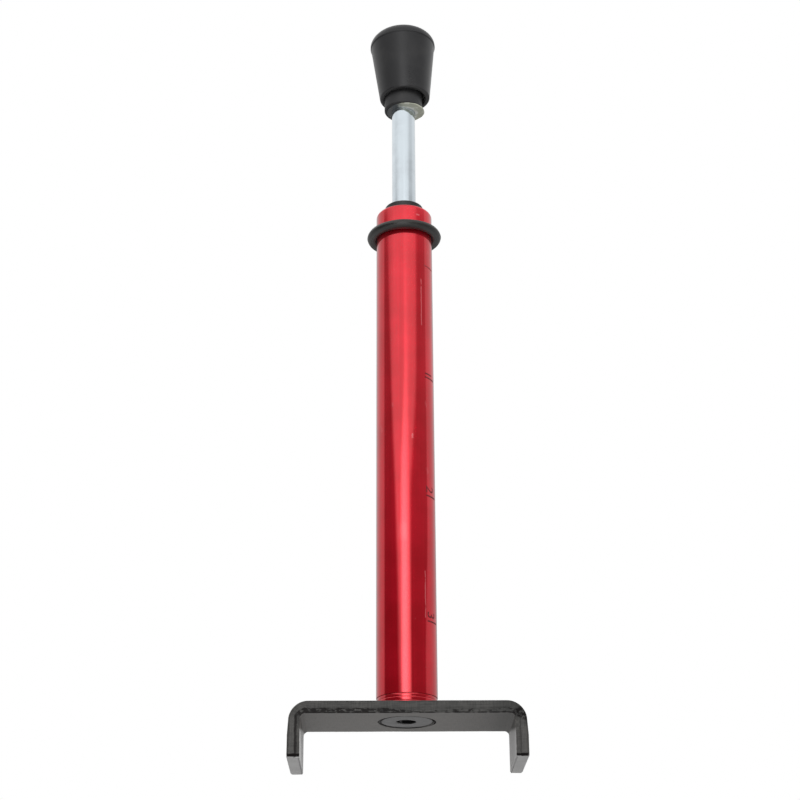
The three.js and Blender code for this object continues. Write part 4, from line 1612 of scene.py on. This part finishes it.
@dataclass
class Plunger:
    """The bright rod and the knob on it: hard neck, rubber cap and the adhesive between neck and rod."""

    tap_radius: float = 1.65 * MM
    tap_depth: float = 9 * MM
    tap_chamfer: float = 0.3 * MM
    drill_point: float = 0.8 * MM
    rod_edge: float = 0.35 * MM
    neck_radius: float = 4.95 * MM
    neck_edge: float = 0.5 * MM
    head_height: float = 4.8 * MM
    head_edge: float = 0.7 * MM
    head_wall: float = 1.2 * MM
    pocket_radius: float = 4.35 * MM
    pocket_depth: float = 1.8 * MM
    glue_hole: float = 3.02 * MM
    glue_edge: float = 4.34 * MM
    glue_top: float = 1.6 * MM
    glue_stem: float = 4.2 * MM
    glue_film: float = 0.05 * MM
    glue_swell: float = 0.34 * MM
    glue_foot: float = 0.6 * MM
    heavy_side: float = -0.35
    cavity_radius: float = 6.25 * MM
    cavity_gap: float = 0.15 * MM
    lip_radius: float = 5.15 * MM
    lip_height: float = 2 * MM
    lip_edge: float = 0.2 * MM
    cap_foot: float = 6.5 * MM
    cap_foot_edge: float = 0.62 * MM
    cone_height: float = 15.9 * MM
    cone_top: float = 8.4 * MM
    rim: float = 8.6 * MM
    rim_height: float = 0.6 * MM
    rim_slope: float = 0.28 * MM
    dome_steps: int = 24
    recess_edge: float = 0.45 * MM
    recess_radius: float = 5.35 * MM
    recess_depth: float = 1.8 * MM
    lean: float = 0.031
    lean_height: float = 11.5 * MM
    cap_shift: float = 0.06 * MM
    foot_rise: float = 0.28 * MM
    run_out: float = 1.25 * MM
    run_ripple: float = 0.15 * MM
    run_sag: float = 0.25 * MM
    thinned: float = 0.08
    cap_ripple: float = 0.0022
    dome_error: float = 0.12 * MM
    plating: Finish = field(default_factory=lambda: Metal(
        "bright_plate", colour=(0.69, 0.76, 0.81), tarnish=(0.58, 0.63, 0.67), roughness=0.12, lay=Lay.ALONG,
        line_depth=0.0015 * MM))
    rubber: Finish = field(default_factory=lambda: Moulded(
        "cap_rubber", colour=(0.019, 0.019, 0.020), dusty=(0.07, 0.068, 0.066), roughness=0.36, dust=0.25,
        grain_depth=0.006 * MM, sheen=0.12, shine=0.28))
    plastic: Finish = field(default_factory=lambda: Moulded(
        "neck_plastic", colour=(0.028, 0.028, 0.029), roughness=0.5, dust=0.25, grain_depth=0.006 * MM,
        shine=0.2))

    def build_rod(self) -> None:
        """Turns the rod, with a tapped hole in its inner end."""
        foot, top, radius = span("plunger_rod")
        length, tap, chamfer = top - foot, self.tap_radius, self.tap_chamfer
        corners = [
            (0, self.tap_depth + self.drill_point), (tap, self.tap_depth), (tap, chamfer), (tap + chamfer, 0),
            (radius, 0, self.rod_edge), (radius, length, self.rod_edge), (0, length),
        ]
        piece = lathe("plunger_rod_ground", corners, foot, 4, 96)
        dress(piece, self.plating, Body.PLUNGER, Slot.BRIGHT_PLATED, "plunger_rod")

    def hub_foot(self) -> float:
        """Height of the neck's foot, which the moulding has left a little short."""
        return span("knob_hub")[0] + self.foot_rise

    def build_hub(self) -> None:
        """Turns the knob's neck and the head that holds the cap."""
        foot, (_, top, head) = self.hub_foot(), span("knob_hub")
        height, hole, neck, pocket = top - foot, SHAFT_HOLE, self.neck_radius, self.pocket_radius
        rod_end, head_foot = height - self.head_wall, height - self.head_height
        corners = [
            (0, rod_end), (hole, rod_end), (hole, self.pocket_depth, SOFT), (pocket, self.pocket_depth, 0.15 * MM),
            (pocket, 0, 0.12 * MM), (neck, 0, self.neck_edge), (neck, head_foot, SOFT), (head, head_foot, 0.2 * MM),
            (head, height, self.head_edge), (0, height),
        ]
        piece = lathe("knob_neck", corners, foot, 4, 96)
        dress(piece, self.plastic, Body.PLUNGER, Slot.BLACK_PLASTIC, "knob_hub")

    def cap_outline(self) -> Outline:
        """The cap's outline, from the inside of its cavity round to the top of its dome.

        Returns:
            Its corners, from the mouth of its bore outwards and over the dome.
        """
        foot, top, _ = span("knob_cap")
        cavity_top, cavity, lip = span("knob_hub")[1] - foot + self.cavity_gap, self.cavity_radius, self.lip_radius
        lip_foot, lip_top, edge = self.recess_depth, self.recess_depth + self.lip_height, self.lip_edge
        rim_foot, rim_top = self.cone_height, self.cone_height + self.rim_height
        dome = top - foot - rim_top - self.dome_error
        corners = [
            (0, cavity_top), (cavity, cavity_top, 0.6 * MM), (cavity, lip_top, SOFT), (lip, lip_top, edge),
            (lip, lip_foot, edge), (self.recess_radius, lip_foot, edge), (self.recess_radius, 0, self.recess_edge),
            (self.cap_foot, 0, self.cap_foot_edge), (self.cone_top, rim_foot, SOFT),
            (self.rim, rim_foot + self.rim_slope, SOFT), (self.rim, rim_top),
        ]
        points = rounded(corners, 5)
        for step in range(1, self.dome_steps + 1):
            angle = step / self.dome_steps * math.pi / 2
            points.append((self.rim * math.cos(angle), rim_top + dome * math.sin(angle)))
        points[-1] = (0, rim_top + dome)
        return points

    def relaxed(self, point: Vector) -> Vector:
        """Lets a corner of the cap lean and ripple, as soft rubber does.

        Args:
            point: The corner as it was moulded.

        Returns:
            The corner as it sits.
        """
        pivot = Vector((0, 0, span("knob_cap")[0] + self.lean_height))
        swell = 1 + self.cap_ripple * wave(point, 7 * MM, 2.0)
        leaned = Matrix.Rotation(-self.lean, 3, "Y") @ (point - pivot) + pivot
        return Vector((leaned.x * swell + self.cap_shift, leaned.y * swell, leaned.z))

    def build_cap(self) -> None:
        """Turns the rubber cap and sets it on the neck a little crooked."""
        piece = turned("knob_cap_rubber", self.cap_outline(), span("knob_cap")[0], 144)
        shape(piece, self.relaxed)
        smooth(piece, 30)
        dress(piece, self.rubber, Body.PLUNGER, Slot.KNOB_RUBBER, "knob_cap")

    def squeezed(self, point: Vector) -> Vector:
        """Runs a corner of the adhesive over the neck's edge on its heavy side.

        Args:
            point: The corner of the even ring.

        Returns:
            The moved corner.
        """
        foot, reach = self.hub_foot(), math.hypot(point.x, point.y)
        if point.z > foot:
            return point
        heavy = (0.5 + 0.5 * math.cos(math.atan2(point.y, point.x) - self.heavy_side)) ** 3
        share = max(0.0, (reach - self.glue_hole) / (self.glue_edge - self.glue_hole))
        ripple = wave(point, 1.5 * MM, 6.0)
        out = 1 + share * heavy * (self.run_out + self.run_ripple * ripple) / reach
        proud = (foot - point.z) * (self.thinned + (1 - self.thinned) * heavy)
        proud += self.run_sag * heavy * ripple * (point.z < foot - SOFT)
        return Vector((point.x * out, point.y * out, foot - max(proud, 0.02 * MM)))

    def build_glue(self) -> None:
        """Makes the adhesive: a ring in the neck's mouth that has run over its edge on one side."""
        hole, edge, stem, film = self.glue_hole, self.glue_edge, self.glue_stem, self.glue_film
        corners = [
            (hole, self.glue_top), (hole, -self.glue_foot, SOFT), (edge, -self.glue_swell, 0.24 * MM),
            (edge, -film, 0.05 * MM), (stem, -film, 0.03 * MM), (stem, self.glue_top), (hole, self.glue_top),
        ]
        piece = turned("glue_bead_run", rounded(corners, 6), self.hub_foot(), 120)
        shape(piece, self.squeezed)
        smooth(piece, 60)
        dress(piece, Adhesive(), Body.PLUNGER, Slot.CURED_ADHESIVE, "glue_bead")

    def build(self) -> None:
        """Makes the rod and the whole knob."""
        self.build_rod()
        self.build_hub()
        self.build_glue()
        self.build_cap()


@dataclass
class MarkerRing:
    """The rubber ring that grips the barrel and is pushed along it as a pointer."""

    outer_radius: float = 9.3 * MM
    grip_radius: float = 6.96 * MM
    tilt: float = 0.027
    side_tilt: float = 0.018
    lift: float = 0.1 * MM
    flash: float = 0.05 * MM
    flash_width: float = 0.16
    swell: float = 0.03
    sag: float = 0.05 * MM
    section_sides: int = 32
    rubber: Finish = field(default_factory=lambda: Moulded(
        "marker_rubber", colour=(0.013, 0.013, 0.012), dusty=(0.08, 0.075, 0.068), roughness=0.42, dust=0.3,
        grain_depth=0.006 * MM, sheen=0.1))

    @property
    def section(self) -> float:
        """Radius of the ring's round section."""
        return (self.outer_radius - self.grip_radius) / 2

    def outline(self) -> Outline:
        """The ring's section, with the thin flash line of its mould round the outside.

        Returns:
            Its corners.
        """
        ring, points = self.outer_radius - self.section, []
        for step in range(self.section_sides):
            angle = FULL_TURN * step / self.section_sides
            ridge = self.flash * math.exp(-((math.sin(angle) / self.flash_width) ** 2)) * (math.cos(angle) > 0)
            reach = self.section + ridge
            points.append((ring + reach * math.cos(angle), reach * math.sin(angle)))
        return [*points, points[0]]

    def settled(self, point: Vector) -> Vector:
        """Makes a corner of the ring a little uneven, and tilts and lifts it into place.

        Args:
            point: The corner of the level ring at height zero.

        Returns:
            The corner in the frame.
        """
        low, high, _ = span("marker_ring")
        spoke = Vector((point.x, point.y, 0)).normalized() * (self.outer_radius - self.section)
        grown = spoke + (point - spoke) * (1 + self.swell * wave(spoke, 5 * MM, 8.0))
        grown.z += self.sag * wave(spoke, 8 * MM, 3.0)
        turn = Matrix.Rotation(-self.side_tilt, 3, "Y") @ Matrix.Rotation(self.tilt, 3, "X")
        return turn @ grown + Vector((0, 0, (low + high) / 2 + self.lift))

    def build(self) -> None:
        """Makes the ring."""
        piece = turned("marker_ring_rubber", self.outline(), 0.0, 160)
        shape(piece, self.settled)
        smooth(piece, 40)
        dress(piece, self.rubber, Body.MARKER, Slot.RING_RUBBER, "marker_ring")


# Studio


@dataclass(frozen=True)
class MirroredRoom:
    """What shiny surfaces mirror: a white room, a bright panel at the front and a dark drape on each side of it.

    Sides are degrees from the viewer's direction to the right, and rises are degrees from level.
    """

    base_rise: float = 14
    left_edge: float = -27
    left_slope: float = -3.2
    left_bulge: float = 4.5
    bulge_rise: float = 18.6
    right_edge: float = 16
    right_swing: float = 30
    swing_rises: Corner = (19.5, 24.5)
    right_slope: float = 1.2
    left_end: float = -93
    right_end: float = 76
    end_shift: float = 16
    end_rises: Corner = (14, 19)
    soft: float = 4
    panel_edges: Corner = (-18, 8)
    panel_left_fade: Corner = (-7, 7)
    panel_right_fade: Corner = (9, -14)
    panel_shifts: Corner = (15, 6)
    shift_rises: Corner = (20, 25)
    panel_top: Corner = (26, 17)
    panel_glow: float = 0.15
    glow_top: Corner = (32, 26)
    panel_light: float = 2.1
    left_light: float = 0.5
    right_light: float = 0.4
    drape_light: Corner = (0.05, 0.1)
    drape_gain: float = 0.15
    drape_tops: Corner = (29, 26)
    upper_light: Corner = (0.7, 0.5)
    upper_rises: Corner = (29.3, 29.9)
    ceiling_dark: float = 0.3
    ceiling_rises: Corner = (38, 60)
    strip: Corner = (169.5, 5.5)
    strip_light: float = 0.38

    def panel(self, graph: Graph, side: Wire, rise: Wire) -> Wire:
        """Works out how much the bright panel adds.

        Args:
            graph: The world's nodes.
            side: Degrees to the right of the viewer's direction.
            rise: Degrees from level.

        Returns:
            The brightness on top of the room's.
        """
        (low, high), (left_shift, right_shift) = self.panel_edges, self.panel_shifts
        right_start, right_end = self.panel_right_fade
        lifted = graph.step(rise, *self.shift_rises)
        across = graph.step(side - low - left_shift * lifted, *self.panel_left_fade)
        across = across * graph.step(side - right_shift * lifted, high + right_start, high + right_end)
        tall = (1 - self.panel_glow) * graph.step(rise, *self.panel_top)
        return across * (tall + self.panel_glow * graph.step(rise, *self.glow_top)) * self.panel_light

    def drape(self, graph: Graph, rise: Wire, side: int) -> Wire:
        """Works out how bright a dark drape is.

        Args:
            graph: The world's nodes.
            rise: Degrees from level.
            side: 0 for the left drape and 1 for the right.

        Returns:
            The brightness, where 1 is white.
        """
        upper = graph.step(rise, *self.upper_rises)
        lower = self.drape_light[side] + self.drape_gain * graph.step(rise, self.base_rise, self.drape_tops[side])
        return lower + self.upper_light[side] * upper

    def level(self, graph: Graph) -> Wire:
        """Works out how bright each direction is.

        Args:
            graph: The world's nodes.

        Returns:
            The brightness, where 1 is white.
        """
        x, y, z = graph.axes(graph.spot())
        side, soft, shifted = graph.bearing(x, y), self.soft, self.end_rises
        rise = abs(graph.math("ARCSINE", z)) * math.degrees(1)
        left_edge = self.left_edge + self.left_slope * (rise - self.base_rise)
        left_edge = left_edge + self.left_bulge * graph.near(rise, self.bulge_rise, 1, 4)
        right_edge = self.right_edge + self.right_swing * graph.step(rise, *self.swing_rises)
        right_edge = right_edge + self.right_slope * (0 | rise - self.swing_rises[1])
        blurred = 1 - 0.4 * graph.step(rise, 20, 13)
        middle = graph.step((side - left_edge) * blurred, -1.8 * soft, 1.8 * soft)
        sharpness = 1 - 0.5 * graph.step(rise, *shifted)
        middle = middle * graph.step((side - right_edge) * sharpness, soft, -soft)
        middle = middle * (1 - 0.7 * graph.step(abs(side + 8), 30, 75))
        left = graph.step(side, self.left_end + soft, self.left_end - soft) * self.left_light
        right_end = self.right_end + self.end_shift * graph.step(rise, *shifted)
        right = graph.step(side - right_end, -soft, soft) * self.right_light
        left_depth, right_depth = self.drape(graph, rise, 0), self.drape(graph, rise, 1)
        depth = left_depth + (right_depth - left_depth) * graph.step(side, -1, 1)
        behind, half_width = self.strip
        strip = graph.near(abs(side), behind, half_width - 2, 4) * (1 - self.strip_light)
        ceiling = 1 - self.ceiling_dark * graph.step(rise, *self.ceiling_rises)
        room = (depth + (1 - depth) * (middle | left | right)) * (1 - strip) * ceiling
        return room + self.panel(graph, side, rise)


@dataclass
class Studio:
    """The pale floor, soft light and the camera at the photograph's place."""

    camera_place: tuple[float, float, float] = (-6.137 * MM, -376.74 * MM, -71.74 * MM)
    pitch: float = math.radians(23.08)
    yaw: float = math.radians(0.743)
    roll: float = math.radians(-0.274)
    focal_pixels: float = 1677.5
    frame_pixels: int = 800
    sensor: float = 36.0
    ambient: float = 0.6
    floor_radius: float = 1.1
    floor_fade: Corner = (0.25, 0.95)
    floor_grey: float = 0.86
    floor_drop: float = 0.3 * MM
    lamp_distance: float = 0.9
    lamp_height: float = 90 * MM
    lamps: tuple[tuple[str, float, float, float, float], ...] = (
        ("front_lamp", 30, 35, 0.6, 8.0), ("fill_lamp", -80, 35, 0.6, 3.5))
    room: MirroredRoom = field(default_factory=MirroredRoom)

    def build_camera(self) -> None:
        """Puts the camera where the photograph was taken from."""
        lens = bpy.data.cameras.new("photo_camera")
        lens.sensor_fit, lens.sensor_width = "HORIZONTAL", self.sensor
        lens.lens = self.focal_pixels * self.sensor / self.frame_pixels
        lens.clip_start, lens.clip_end = 0.01, 20
        camera = bpy.data.objects.new("photo_camera", lens)
        bpy.context.collection.objects.link(camera)
        ahead = Vector((math.sin(self.yaw) * math.cos(self.pitch), math.cos(self.yaw) * math.cos(self.pitch),
                        math.sin(self.pitch)))
        right = Vector((math.cos(self.yaw), -math.sin(self.yaw), 0))
        up = right.cross(ahead)
        rolled_right = math.cos(self.roll) * right + math.sin(self.roll) * up
        rolled_up = math.cos(self.roll) * up - math.sin(self.roll) * right
        turn = Matrix((rolled_right, rolled_up, -ahead)).transposed()
        camera.matrix_world = Matrix.Translation(self.camera_place) @ turn.to_4x4()
        bpy.context.scene.camera = camera

    def build_world(self) -> None:
        """Lights everything evenly, shows white to the camera, and the room to whatever mirrors it."""
        world = bpy.data.worlds.new("white_room")
        world.cycles.sampling_method = "NONE"
        graph = Graph(world)
        rays = graph.node("ShaderNodeLightPath", {}, {}).socket.node.outputs
        shown = Wire(graph, rays["Is Camera Ray"]) | Wire(graph, rays["Is Transmission Ray"])
        mirrored = Wire(graph, rays["Is Glossy Ray"])
        level = mirrored * self.room.level(graph) + (1 - mirrored) * self.ambient
        strength = shown + (1 - shown) * level
        light = graph.node("ShaderNodeBackground", {}, {"Color": WHITE, "Strength": strength})
        graph.show("ShaderNodeOutputWorld", light)
        bpy.context.scene.world = world

    def build_floor(self) -> None:
        """Lays a pale floor that fades into the white room and is seen from above only."""
        floor = added("pale_floor", bpy.ops.mesh.primitive_circle_add, vertices=96, radius=self.floor_radius,
                      fill_type="NGON", location=(0, 0, -self.floor_drop))
        material = bpy.data.materials.new("pale_floor")
        graph = Graph(material)
        x, y, _ = graph.axes(graph.spot())
        reach = graph.reach(x, y)
        backs = graph.node("ShaderNodeNewGeometry", {}, {}, "Backfacing")
        start, end = self.floor_fade
        hidden = graph.step(reach, start * self.floor_radius, end * self.floor_radius) | backs
        matt = graph.node("ShaderNodeBsdfDiffuse", {}, {"Color": (*[self.floor_grey] * 3, 1)})
        clear = graph.node("ShaderNodeBsdfTransparent", {}, {})
        graph.show("ShaderNodeOutputMaterial", graph.node("ShaderNodeMixShader", {}, {0: hidden, 1: matt, 2: clear}))
        floor.data.materials.append(material)
        for ray in ("diffuse", "glossy", "transmission", "shadow"):
            setattr(floor, f"visible_{ray}", False)

    def build_lamp(self, name: str, azimuth: float, elevation: float, size: float, watts: float) -> None:
        """Hangs one soft lamp, aimed at the middle of the object.

        Args:
            name: The lamp's name.
            azimuth: Degrees from the viewer's direction to the right.
            elevation: Degrees above level.
            size: Its width in metres.
            watts: Its power.
        """
        lamp = bpy.data.lights.new(name, "AREA")
        lamp.shape, lamp.size, lamp.energy = "DISK", size, watts
        holder = bpy.data.objects.new(name, lamp)
        bpy.context.collection.objects.link(holder)
        side, rise = math.radians(azimuth), math.radians(elevation)
        toward = Vector((math.sin(side) * math.cos(rise), -math.cos(side) * math.cos(rise), math.sin(rise)))
        holder.location = Vector((0, 0, self.lamp_height)) + self.lamp_distance * toward
        holder.rotation_euler = toward.to_track_quat("Z", "Y").to_euler()
        holder.visible_glossy = False

    def build(self) -> None:
        """Sets up the whole studio."""
        bpy.context.scene.view_settings.view_transform = "Standard"
        self.build_camera()
        self.build_world()
        self.build_floor()
        for lamp in self.lamps:
            self.build_lamp(*lamp)
        log.info("studio ready")


def main() -> None:
    """Builds the studio and every sub-assembly in order."""
    studio, parts = Studio(), (Cradle(), BarrelGroup(), ForceTrain(), Plunger(), MarkerRing())
    studio.build()
    for part in parts:
        log.info("building %s", type(part).__name__)
        part.build()


if __name__ == "__main__":
    main()
